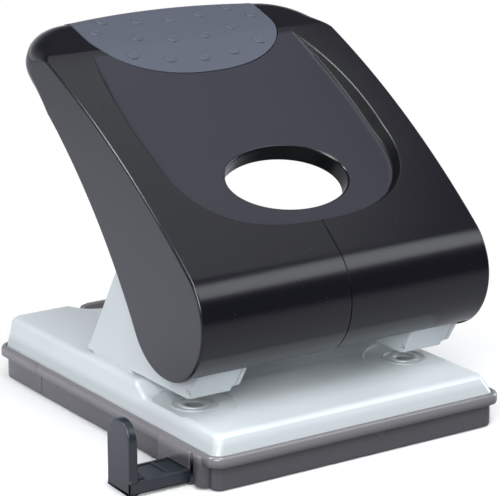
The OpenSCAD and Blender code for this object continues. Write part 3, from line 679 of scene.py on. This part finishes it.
def make_springs():
    turns, wire, low, high = 6, 0.9, BUSH_TOP, COLLAR_Z
    r = 3.82
    points = []
    steps = turns * 40
    for i in range(steps + 1):
        a = 2 * math.pi * turns * i / steps
        t = i / steps * turns
        closed = wire * 0.98
        if t < 1:
            z = closed * t
        elif t > turns - 1:
            z = (high - low - wire) - closed * (turns - t)
        else:
            z = closed + (high - low - wire - 2 * closed) * (t - 1) / (turns - 2)
        points.append((r * math.cos(a) - HOLE_X, r * math.sin(a), low + wire / 2 + z))
    return tube("return_spring_left", points, wire / 2, 12)


# Lever cover, in the lever's own frame

ROLL_C, ROLL_R, NOSE_C, NOSE_R = Vector((7.7, -5.0)), 20.0, Vector((118.9, 4.9)), 5.6
ROLL_TOP, ROLL_LOW, NOSE_LOW = 99.0, -60.5, -97.0
SHOULDER, ARCH = Vector((101.5, 15.5)), Vector((81.1, -0.3))
SCOOP_FRONT, SCOOP_WIDE, SCOOP_TOP, SCOOP_MID, SCOOP_HALF = 14.3, 50.0, 100.8, 57.55, 43.25
SCOOP_HW, SCOOP_TOP_HW, SCOOP_DRAFT, SCOOP_BOW = 43.5, 40.0, 3.2, 1.8
OVAL_U, OVAL_W, OVAL_L = 36.6, 43.0, 27.5
PAD_HW, PAD_WIDE, PAD_LOW, PAD_T, PAD_PROUD, PAD_FOOT = 35.0, 109.5, 86.1, 1.4, 0.2, 3.9
SCREW_U = (62.0, 84.0)


def polar(c, r, a):
    return c + r * Vector((math.cos(math.radians(a)), math.sin(math.radians(a))))


def side_prism(name, profile, hw):
    """A side outline (u, v) drawn out over both sides of the lever."""
    return prism(name, [on_lever(-hw, p[0], p[1]) for p in profile], (2 * hw, 0, 0))


def plan_prism(name, plan, low, high):
    """A plan outline (x, u) drawn out between two heights of the lever."""
    rise = on_lever(0, 0, high) - on_lever(0, 0, low)
    return prism(name, [on_lever(p[0], p[1], low) for p in plan], rise)


def cover_hw(u):
    """Half width of the cover, a little more towards the free end."""
    return COVER_HW + END_FLARE * (u - 20)


def cover_plan(inset, steps=14):
    end, r = LEVER_LEN + 1.5 - inset, END_CORNER - inset
    corner_u = end - END_SAG - r
    hw = cover_hw(corner_u) - inset
    half = [Vector((cover_hw(u) - inset, u)) for u in [-40.0] + [corner_u - 26.0 + 2 * i for i in range(10)]
            + [corner_u - 7.0 + i for i in range(8)]]
    half += [Vector((hw - r, corner_u)) + r * Vector((math.cos(a), math.sin(a)))
             for a in (math.radians(84) * i / steps for i in range(1, steps + 1))]
    half += [Vector((x, end - END_SAG * (x / (hw - r)) ** 2))
             for x in ((hw - r) * (1 - i / steps) for i in range(1, steps))]
    return half + [Vector((0.0, end))] + [Vector((-p.x, p.y)) for p in reversed(half)]


def scoop_floor(u):
    return 14.7 + 1.068 * ((u - SCOOP_MID) / SCOOP_HALF) ** 2


def rounded_end(hw, top, wide, low, power, n=40, swell=0.0):
    """Outline (x, u) with sides that swell out a little and a blunt curve at its low end."""
    half = bow(top, (hw, wide), swell, 24) if swell else [Vector(top)]
    for i in range(n):
        a = math.pi / 2 * i / n
        half.append(Vector((hw * math.cos(a) ** power, wide - (wide - low) * math.sin(a) ** power)))
    return half + [Vector((0.0, low))] + [Vector((-p.x, p.y)) for p in reversed(half)]


def oval(grow, n=96):
    return [Vector(((OVAL_W / 2 + grow) * math.cos(2 * math.pi * i / n),
                    OVAL_U + (OVAL_L / 2 + grow) * math.sin(2 * math.pi * i / n))) for i in range(n)]


def cover_profile():
    return (bow(polar(ROLL_C, ROLL_R, ROLL_TOP), SHOULDER, 3.6, 60)
            + [Vector((u, end_top(u))) for u in (SHOULDER.x + (END_FAR - SHOULDER.x) * i / 12 for i in range(13))]
            + [Vector((END_FAR, cover_bottom(END_FAR)))]
            + bow(polar(NOSE_C, NOSE_R, NOSE_LOW), ARCH, -1.8, 24)
            + bow(ARCH, polar(ROLL_C, ROLL_R, ROLL_LOW), -2.8, 32)
            + arc(ROLL_C, ROLL_R, ROLL_LOW, ROLL_TOP - 360, 110)[:-1])


def top_line(u):
    """Height of the cover's top at u, between the roll and the shoulder."""
    start = polar(ROLL_C, ROLL_R, ROLL_TOP)
    t = (u - start.x) / (SHOULDER.x - start.x)
    return start.y + (SHOULDER.y - start.y) * t + 4 * 3.6 * t * (1 - t)


def end_top(u):
    """Height of the cover's top beyond the shoulder."""
    return SHOULDER.y - END_FALL * (u - SHOULDER.x)


def pad_dip(u, v):
    """How far the surface under the pad lies below height v, rounded over where it leaves the scoop's floor."""
    blend = 0.7
    return blend * math.log(1 + math.exp((v - scoop_floor(u)) / blend))


def under_pad(u):
    top = top_line(u) if u < SHOULDER.x else end_top(u)
    return top - pad_dip(u, top)


def pad_core(h):
    """All of the lever that lies under the pad's surface, which is moved out by h."""
    low = PAD_LOW - 4
    line = [Vector((u, under_pad(u) + h)) for u in (low + (END_FAR - low) * i / 64 for i in range(65))]
    core = side_prism("pad_core", line + [Vector((END_FAR, -50)), Vector((low, -50))], PAD_HW + 3)
    return cut(core, end_form(h), "INTERSECT")


def pad_room(name, grow, high):
    """The pad's outline drawn up from its foot."""
    outline = rounded_end(PAD_HW + grow, (PAD_HW + grow, LEVER_LEN + 10), PAD_WIDE, PAD_LOW - grow, 2 / 2.2)
    return plan_prism(name, outline, PAD_FOOT - grow, high)


def scoop_cutter():
    """Rings from the middle of the floor out to a hollow foot, up the wall and over a rounded rim."""
    plan = rounded_end(SCOOP_HW, (SCOOP_TOP_HW, SCOOP_TOP), SCOOP_WIDE, SCOOP_FRONT, 2 / 2.6, 40, SCOOP_BOW)
    base, slope, last = 14.2, SCOOP_DRAFT / 5.2, math.radians(12)
    turn = math.atan2(1, slope)

    def ring(step):
        points = []
        for q in plan:
            away = q - Vector((0.0, SCOOP_MID))
            place = lambda scale: SCOOP_MID + away.y * scale
            wall = lambda v: 1 - (SCOOP_DRAFT - slope * (v - base)) / SCOOP_HW
            low = scoop_floor(place(wall(15.0)))
            high = top_line(place(wall(16.5)))
            depth = max(0.05, high - low)
            foot, rim = min(2.0, depth), min(0.7, 0.4 * depth)
            start = high - rim * (1 - math.cos(turn))
            scale, v = step(wall, low, start, foot, rim)
            points.append(on_lever(away.x * scale, place(scale), scoop_floor(place(scale)) if v is None else v))
        return points

    def floor_step(part):
        return lambda wall, low, start, foot, rim: (part * (wall(low) - foot * math.tan(turn / 2) / SCOOP_HW), None)

    def foot_step(a):
        return lambda wall, low, start, foot, rim: (
            wall(low) + (foot * math.sin(a) - foot * math.tan(turn / 2)) / SCOOP_HW, low + foot * (1 - math.cos(a)))

    def rim_step(a, out=0.0):
        return lambda wall, low, start, foot, rim: (
            wall(start) + (rim * (math.sin(turn) - math.sin(a)) + out) / SCOOP_HW,
            start + rim * (math.cos(a) - math.cos(turn)) + out * math.tan(last))

    rings = [ring(floor_step(part)) for part in (0.03, 0.25, 0.5, 0.7, 0.85, 0.95, 1.0)]
    rings += [ring(foot_step(turn * i / 6)) for i in range(1, 7)]
    rings += [ring(rim_step(turn + (last - turn) * i / 5)) for i in range(6)]
    rings.append(ring(rim_step(last, 2.0)))
    rings.append([p + on_lever(0, 0, 6) - on_lever(0, 0, 0) for p in rings[-1]])
    return loft("scoop_cutter", rings, fill_first="FACE", fill_last="FACE")


def oval_cutter():
    """The oval hole with a rounded rim."""
    r, last = 0.9, math.radians(75)
    steps = [(0.0, None), (0.0, -r)] + [(r * (1 - math.cos(a)), r * (math.sin(a) - 1))
                                        for a in (last * i / 5 for i in range(1, 6))]
    steps += [(steps[-1][0] + 2.0, steps[-1][1] + 2.0 / math.tan(last)), (steps[-1][0] + 2.0, 8.0)]
    rings = [[on_lever(q.x, q.y, -60 if h is None else scoop_floor(q.y) + h) for q in oval(out, 120)]
             for out, h in steps]
    return loft("oval_cutter", rings, fill_first="FACE", fill_last="FACE")


def make_lever_cover():
    cover = cover_body()
    cut(cover, end_form(), "INTERSECT")
    inner = COVER_HW - COVER_WALL
    cavity = arc(ROLL_C, ROLL_R - COVER_WALL, 102, 250, 60) + [Vector(p) for p in (
        (ROLL_C.x + ROLL_R, -60), (NOSE_C.x + 1, -60), (NOSE_C.x + 1, NOSE_C.y + 1),
        (NOSE_C.x - 2, NOSE_C.y + NOSE_R - COVER_WALL - 1.2), (SHOULDER.x - 2, 12.5))]
    hollow = side_prism("hollow", cavity, inner)
    cut(hollow, plan_prism("inner_plan", cover_plan(COVER_WALL, 11), -70, 70), "INTERSECT")
    cut(cover, hollow)
    collar = plan_prism("oval_collar", oval(2.2), scoop_floor(OVAL_U) - 6, scoop_floor(OVAL_U) - 0.1)
    cut(cover, collar, "UNION")
    for x in (-HOLE_X, HOLE_X):
        for u in SCREW_U:
            cut(cover, rod("boss", 3.5, on_lever(x, u, 9.5), on_lever(x, u, 13.5)), "UNION")
    cut(cover, scoop_cutter())
    cut(cover, oval_cutter())
    rise = [Vector((u, top_line(u))) for u in (17.5 - 12.5 * i / 20 for i in range(20))]
    seam = [q + Vector((0, 1)) for q in rise] + arc(ROLL_C, ROLL_R + 1, ROLL_TOP, 290, 80)
    seam += list(reversed([q - Vector((0, 0.3)) for q in rise] + arc(ROLL_C, ROLL_R - 0.3, ROLL_TOP, 290, 80)))
    cut(cover, side_prism("seam", seam, 0.2))
    cut(cover, cut(pad_room("pad_seat", 0.3, 60), pad_core(PAD_PROUD - PAD_T)))
    for x in (-HOLE_X, HOLE_X):
        for u in SCREW_U:
            cut(cover, rod("screw_hole", 1.52, on_lever(x, u, 8.5), on_lever(x, u, 12.5), 24))
    cut(cover, block("lip_low", (-inner, -100, 0), (inner, 0, 31.4)))
    cut(cover, block("lip_high", (-inner, -16, 0), (inner, 24, 34.0)))
    return cover


def ramp(value, low, high):
    t = min(1.0, max(0.0, (value - low) / (high - low)))
    return t * t * (3 - 2 * t)


def cover_body():
    """The cover's side outline drawn from wall to wall, with rounded edges."""
    profile = cover_profile()
    n = len(profile)
    inward, r = [], 0.9
    for i, q in enumerate(profile):
        along = (profile[(i + 1) % n] - profile[i - 1]).normalized()
        inward.append(Vector((along.y, -along.x)))
    rings = []
    for side in (-1, 1):
        for k in range(7):
            a = math.radians(90 * (6 - k if side < 0 else k) / 6)
            rings.append([on_lever(side * (cover_hw(q.x) - r * (1 - math.sin(a))), *(q + m * r * (1 - math.cos(a))))
                          for q, m in zip(profile, inward)])
    return loft("lever_cover_moulded", rings, fill_first="FACE", fill_last="FACE")


def cover_bottom(u):
    """Height of the cover's lower line near the free end."""
    last = polar(NOSE_C, NOSE_R, NOSE_LOW)
    t = (u - last.x) / (ARCH.x - last.x)
    return last.y + (ARCH.y - last.y) * t + 4 * 1.8 * t * (1 - max(0.0, t))


def end_form(grow=0.0):
    """Plan of the cover drawn up, rounded above and below all round the free end; grow moves its surface out."""
    plan = cover_plan(-0.02 - grow)
    n = len(plan)
    shape = []
    for i, q in enumerate(plan):
        along = (plan[(i + 1) % n] - plan[i - 1]).normalized()
        below = 0.004 + 0.996 * ramp(q.y, SHOULDER.x - 18, SHOULDER.x + 5)
        above = 0.004 + 0.996 * ramp(q.y, SHOULDER.x - 6, SHOULDER.x + 8)
        shape.append((q, Vector((-along.y, along.x)), (END_ROUND_LOW + grow) * below, (END_ROUND + grow) * above))

    def low(q, m, r, a):
        p = q + m * r * (1 - math.sin(a))
        return on_lever(*p, cover_bottom(max(p.y, ARCH.x)) - grow + r * (1 - math.cos(a)))

    def top(q, m, r, a):
        p = q + m * r * (1 - math.cos(a))
        crown = end_top(p.y) if p.y > SHOULDER.x else top_line(p.y) + 0.02
        return on_lever(*p, crown + grow - r * (1 - math.sin(a)))
    angles = [math.radians(90 * k / 8) for k in range(9)]
    rings = [[on_lever(*(q + m * rl), -60) for q, m, rl, rt in shape]]
    rings += [[low(q, m, rl, a) for q, m, rl, rt in shape] for a in angles]
    rings += [[top(q, m, rt, a) for q, m, rl, rt in shape] for a in angles]
    rings.append([on_lever(*(q + m * rt), 60) for q, m, rl, rt in shape])
    return loft("end_form", rings, fill_first="FACE", fill_last="FACE")


def part_finishes(cover):
    """Gives the scoop its satin finish, and paints the walls of the scoop and the oval hole a deeper, less shiny black
    as painted shade.
    """
    cover.data.materials.append(FINISH["satin"])
    cover.data.materials.append(FINISH["hole"])
    for slot, inside in ((1, in_scoop), (2, in_hole), (2, in_wall)):
        edit(cover, "FACE")
        bpy.ops.mesh.select_all(action="DESELECT")
        mesh = bmesh.from_edit_mesh(cover.data)
        for f in mesh.faces:
            if all(inside(*from_lever(w.co / MM)) for w in f.verts):
                f.select_set(True)
        bmesh.update_edit_mesh(cover.data)
        cover.active_material_index = slot
        bpy.ops.object.material_slot_assign()
        leave()


def in_scoop(x, u, v):
    return 10 < u < SHOULDER.x and abs(x) < 45 and scoop_floor(u) - 0.12 < v < scoop_floor(u) + 0.4


def in_wall(x, u, v):
    return 10 < u < SHOULDER.x and abs(x) < 45 and scoop_floor(u) + 0.25 < v < top_line(u) - 0.25


def in_hole(x, u, v):
    round_hole = math.hypot(x / (OVAL_W / 2), (u - OVAL_U) / (OVAL_L / 2))
    return round_hole < 1.012 and v < scoop_floor(u) - 0.3


PAD_DOTS = ([(x, 92.7 + 0.0080 * x * x) for x in (-24, -12, 0, 12, 24)]
            + [(x, 102.6 + 0.0100 * x * x) for x in (-30, -18, -6, 6, 18, 30)]
            + [(x, 114.8 + 0.0055 * x * x) for x in (-24, -12, 0, 12, 24)])


def make_dots(pad):
    """Shallow round dots with a raised rim, set square to the pad's face."""
    rings = [circle(0, 0, h, r, 40) for r, h in ((2.05, -0.25), (2.00, 0.15), (1.87, 0.36), (1.62, 0.50), (1.34, 0.52),
                                                 (1.10, 0.44), (0.85, 0.38), (0.45, 0.38))]
    bpy.context.view_layer.update()
    across = Vector((1, 0, 0))
    down = on_lever(0, 0, 0) - on_lever(0, 0, 1)
    dots = []
    for x, u in PAD_DOTS:
        spot, out = pad.ray_cast(on_lever(x, u, 40) * MM, down)[1:3]
        along = out.cross(across).normalized()
        side = along.cross(out)
        placed = [[spot / MM + side * px + along * py + out * pz for px, py, pz in ring] for ring in rings]
        dots.append(loft("dot", placed, fill_first="FACE", fill_last="FACE"))
    return dots


def make_pad():
    pad = pad_room("grip_pad_rubber", 0, 60)
    cut(pad, pad_core(PAD_PROUD), "INTERSECT")
    cut(pad, pad_core(PAD_PROUD - PAD_T))
    bevel(pad, 0.3, 3, 40)
    return join(pad, *make_dots(pad))


# Camera, light and floor

def make_stage():
    scene = bpy.context.scene
    scene.view_settings.view_transform = "Standard"
    azimuth, elevation, distance = math.radians(-33.92), math.radians(15.708), 0.75187
    target = Vector((-6.13, 20.0, 55.47)) * MM
    toward = Vector((math.sin(azimuth) * math.cos(elevation), -math.cos(azimuth) * math.cos(elevation),
                     math.sin(elevation)))
    lens = bpy.data.cameras.new("photo_view")
    lens.sensor_fit = "HORIZONTAL"
    lens.sensor_width = 36.0
    lens.lens = 172.8
    lens.clip_start = 0.05
    camera = bpy.data.objects.new("photo_view", lens)
    camera.location = target + toward * distance
    camera.rotation_euler = (-toward).to_track_quat("-Z", "Y").to_euler()
    scene.collection.objects.link(camera)
    scene.camera = camera

    deselect()
    bpy.ops.mesh.primitive_plane_add(size=8, location=(0, 0, -0.0002))
    floor = bpy.context.object
    floor.name = "floor"
    settle(floor)
    floor.data.materials.append(pale_floor())

    world = bpy.data.worlds.new("studio")
    scene.world = world
    world.use_nodes = True
    nodes, link = world.node_tree.nodes, world.node_tree.links.new
    soft = nodes["Background"]
    where = nodes.new("ShaderNodeTexCoord")
    rays = nodes.new("ShaderNodeLightPath")
    axes = nodes.new("ShaderNodeSeparateXYZ")
    fade = nodes.new("ShaderNodeValToRGB")
    stops = fade.color_ramp.elements
    stops[0].position, stops[0].color = 0.0, (1.00, 1.02, 1.08, 1)
    stops[1].position, stops[1].color = 0.60, (0.07, 0.07, 0.08, 1)
    for place, level in ((0.14, 0.85), (0.32, 0.40)):
        stop = stops.new(place)
        stop.color = (level, level * 1.02, level * 1.08, 1)
    behind = nodes.new("ShaderNodeMapRange")
    behind.interpolation_type = "SMOOTHSTEP"
    behind.inputs["From Min"].default_value = -0.7
    behind.inputs["From Max"].default_value = 0.3
    behind.inputs["To Min"].default_value = 0.08
    link(where.outputs["Generated"], axes.inputs[0])
    link(axes.outputs["Z"], fade.inputs["Fac"])
    link(axes.outputs["Y"], behind.inputs["Value"])
    share = nodes.new("ShaderNodeMath")
    share.operation = "MULTIPLY_ADD"
    share.inputs[1].default_value = -0.2
    share.inputs[2].default_value = 1.1
    level = nodes.new("ShaderNodeMath")
    level.operation = "MULTIPLY"
    link(rays.outputs["Is Glossy Ray"], share.inputs[0])
    link(behind.outputs["Result"], level.inputs[0])
    link(share.outputs[0], level.inputs[1])
    link(level.outputs[0], soft.inputs["Strength"])
    link(fade.outputs["Color"], soft.inputs["Color"])
    white = nodes.new("ShaderNodeBackground")
    white.inputs["Color"].default_value = (1, 1, 1, 1)
    white.inputs["Strength"].default_value = 1.0
    mix = nodes.new("ShaderNodeMixShader")
    link(rays.outputs["Is Camera Ray"], mix.inputs["Fac"])
    link(soft.outputs[0], mix.inputs[1])
    link(white.outputs[0], mix.inputs[2])
    link(mix.outputs[0], nodes["World Output"].inputs["Surface"])

    for name, place, aim, size, power in (
            ("key_panel", (-0.90, -0.86, 0.74), (0, 0.0, 0.04), (0.7, 0.7), 17.5),
            ("high_panel", (-0.16, -0.59, 1.19), (0, 0.0, 0.04), (0.6, 0.6), 9.5),
            ("right_panel", (0.58, -0.60, 0.76), (0, 0.0, 0.05), (0.56, 0.34), 1.9),
            ("top_panel", (0.17, 0.14, 1.00), (0.17, 0.14, 0), (1.08, 0.9), 2.4),
            ("edge_strip", (-0.62, 0.21, 1.02), (0, 0.04, 0.08), (0.25, 0.8), 5.0),
            ("edge_panel", (-0.76, 0.21, 0.88), (0, 0.0, 0.06), (0.2, 0.2), 1.8),
            ("right_fill", (1.10, -0.15, 0.30), (0, 0.0, 0.03), (0.6, 0.4), 4.0)):
        lamp = bpy.data.lights.new(name, "AREA")
        lamp.shape = "RECTANGLE"
        lamp.size, lamp.size_y = size
        lamp.energy = power
        lamp.color = (0.95, 0.975, 1.0)
        holder = bpy.data.objects.new(name, lamp)
        holder.location = place
        holder.rotation_euler = (Vector(aim) - Vector(place)).to_track_quat("-Z", "Y").to_euler()
        scene.collection.objects.link(holder)
    bpy.data.objects["edge_strip"].visible_diffuse = False


def pale_floor():
    """Pale matt floor that goes over to plain white away from the punch, as a lit sweep does for the camera."""
    pale, tree, shader = new_finish("pale_floor")
    shader.inputs["Roughness"].default_value = 0.9
    shader.inputs["Specular IOR Level"].default_value = 0.0
    where = tree.nodes.new("ShaderNodeTexCoord")
    axes = tree.nodes.new("ShaderNodeSeparateXYZ")
    front = tree.nodes.new("ShaderNodeMapRange")
    front.inputs["From Min"].default_value = -0.50
    front.inputs["From Max"].default_value = 0.10
    # Painted reflection: in glossy rays the floor is dark in front of the punch and pale behind it, standing in for
    # shade in front; light bouncing off the floor sees a dark grey.
    painted_reflection_tone = tree.nodes.new("ShaderNodeValToRGB")
    stops = painted_reflection_tone.color_ramp.elements
    stops[0].position, stops[0].color = 0.0, (0.05, 0.05, 0.055, 1)
    stops[1].position, stops[1].color = 1.0, (1.0, 1.0, 1.06, 1)
    for place, level in ((0.56, 0.40), (0.78, 0.50)):
        stops.new(place).color = (level, level, level * 1.04, 1)
    tone = tree.nodes.new("ShaderNodeMix")
    tone.data_type = "RGBA"
    tone.inputs["A"].default_value = (0.14, 0.14, 0.143, 1)
    direct = tree.nodes.new("ShaderNodeMix")
    direct.data_type = "RGBA"
    direct.inputs["B"].default_value = (0.93, 0.93, 0.93, 1)
    middle = tree.nodes.new("ShaderNodeVectorMath")
    middle.operation = "DISTANCE"
    middle.inputs[1].default_value = (0, 0.03, 0)
    reach = tree.nodes.new("ShaderNodeMapRange")
    reach.interpolation_type = "SMOOTHSTEP"
    reach.inputs["From Min"].default_value = 0.065
    reach.inputs["From Max"].default_value = 0.125
    rays = tree.nodes.new("ShaderNodeLightPath")
    seen = tree.nodes.new("ShaderNodeMath")
    seen.operation = "MULTIPLY"
    glow = tree.nodes.new("ShaderNodeEmission")
    glow.inputs["Color"].default_value = (1, 1, 1, 1)
    glow.inputs["Strength"].default_value = 1.0
    mix = tree.nodes.new("ShaderNodeMixShader")
    link = tree.links.new
    link(where.outputs["Object"], axes.inputs[0])
    link(axes.outputs["Y"], front.inputs["Value"])
    link(front.outputs["Result"], painted_reflection_tone.inputs["Fac"])
    link(rays.outputs["Is Glossy Ray"], tone.inputs["Factor"])
    link(painted_reflection_tone.outputs["Color"], tone.inputs["B"])
    link(tone.outputs["Result"], direct.inputs["A"])
    link(rays.outputs["Is Camera Ray"], direct.inputs["Factor"])
    link(direct.outputs["Result"], shader.inputs["Base Color"])
    link(where.outputs["Object"], middle.inputs[0])
    link(middle.outputs["Value"], reach.inputs["Value"])
    link(reach.outputs["Result"], seen.inputs[0])
    link(rays.outputs["Is Camera Ray"], seen.inputs[1])
    link(seen.outputs[0], mix.inputs["Fac"])
    link(shader.outputs[0], mix.inputs[1])
    link(glow.outputs[0], mix.inputs[2])
    link(mix.outputs[0], tree.nodes["Material Output"].inputs["Surface"])
    return pale


make_stage()
NODE_FINISH = {
    "base_plate": "paint", "bracket_left": "paint", "bracket_right": "paint", "die_left": "tool_steel",
    "die_right": "tool_steel", "bracket_rivets": "zinc", "guide_bush_left": "brass", "guide_bush_right": "brass",
    "lever_axle": "zinc", "axle_clips": "spring", "chip_tray": "smoke", "chip_door": "smoke",
    "lever_cover": "black", "grip_pad": "pad", "lever_arm_left": "zinc", "lever_arm_right": "zinc",
    "cover_screws": "zinc", "punch_pin_left": "tool_steel", "punch_pin_right": "tool_steel",
    "drive_pin_left": "zinc", "drive_pin_right": "zinc", "spring_collar_left": "zinc",
    "spring_collar_right": "zinc", "punch_spring_left": "spring", "punch_spring_right": "spring",
    "paper_guide": "slate",
}
for node, finish in NODE_FINISH.items():
    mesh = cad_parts[node].data
    mesh.materials.clear()
    mesh.materials.append(FINISH[finish])

plate = make_base_plate()
hand_in(plate, "base", FINISH["paint"], ["base_plate"])
tray = make_tray()
hand_in(tray, "base", FINISH["smoke"], ["chip_tray"])
door = make_door()
hand_in(door, "door", FINISH["smoke"], ["chip_door"])
cover = make_lever_cover()
hand_in(cover, "lever", FINISH["black"], ["lever_cover"])
part_finishes(cover)
pad = make_pad()
hand_in(pad, "lever", FINISH["pad"], ["grip_pad"])

for node, edge, body, finish, slot in (
        ("die", 0.15, "base", "die", "hard_steel"),
        ("guide_bush", 0.2, "base", "brass", "bush_brass"), ("lever_arm", 0.25, "lever", "zinc", "plated_steel"),
        ("punch_pin", 0.2, "punch", "tool_steel", "hard_steel"), ("drive_pin", 0.2, "punch", "zinc", "plated_steel"),
        ("spring_collar", 0.2, "punch", "zinc", "plated_steel")):
    left = copy_node(node + "_left", node + "_left_finished")
    bevel(left, edge, 2, 40)
    right = twin(left, node + "_right_finished", (2 * HOLE_X, 0, 0))
    for side, piece in (("left", left), ("right", right)):
        hand_in(piece, side + "_punch" if body == "punch" else body, FINISH[finish], [node + "_" + side])
for node, edge, body, finish, slot in (
        ("bracket_rivets", 0.3, "base", "zinc", "plated_steel"), ("lever_axle", 0.5, "base", "zinc", "plated_steel"),
        ("axle_clips", 0.12, "base", "spring", "spring_steel"),
        ("cover_screws", 0.2, "lever", "zinc", "plated_steel")):
    piece = copy_node(node, node + "_finished")
    bevel(piece, edge, 2, 40)
    hand_in(piece, body, FINISH[finish], [node])
hand_in(make_guide(), "guide", FINISH["slate"], ["paper_guide"])
left = make_bracket()
right = twin(left, "bracket_right_painted", (2 * HOLE_X, 0, 0))
hand_in(left, "base", FINISH["paint"], ["bracket_left"])
hand_in(right, "base", FINISH["paint"], ["bracket_right"])
left = make_springs()
right = twin(left, "return_spring_right", (2 * HOLE_X, 0, 0))
for side, x, piece in (("left", -HOLE_X, left), ("right", HOLE_X, right)):
    hand_in(piece, "base", FINISH["spring"], ["punch_spring_" + side])
    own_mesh(piece)
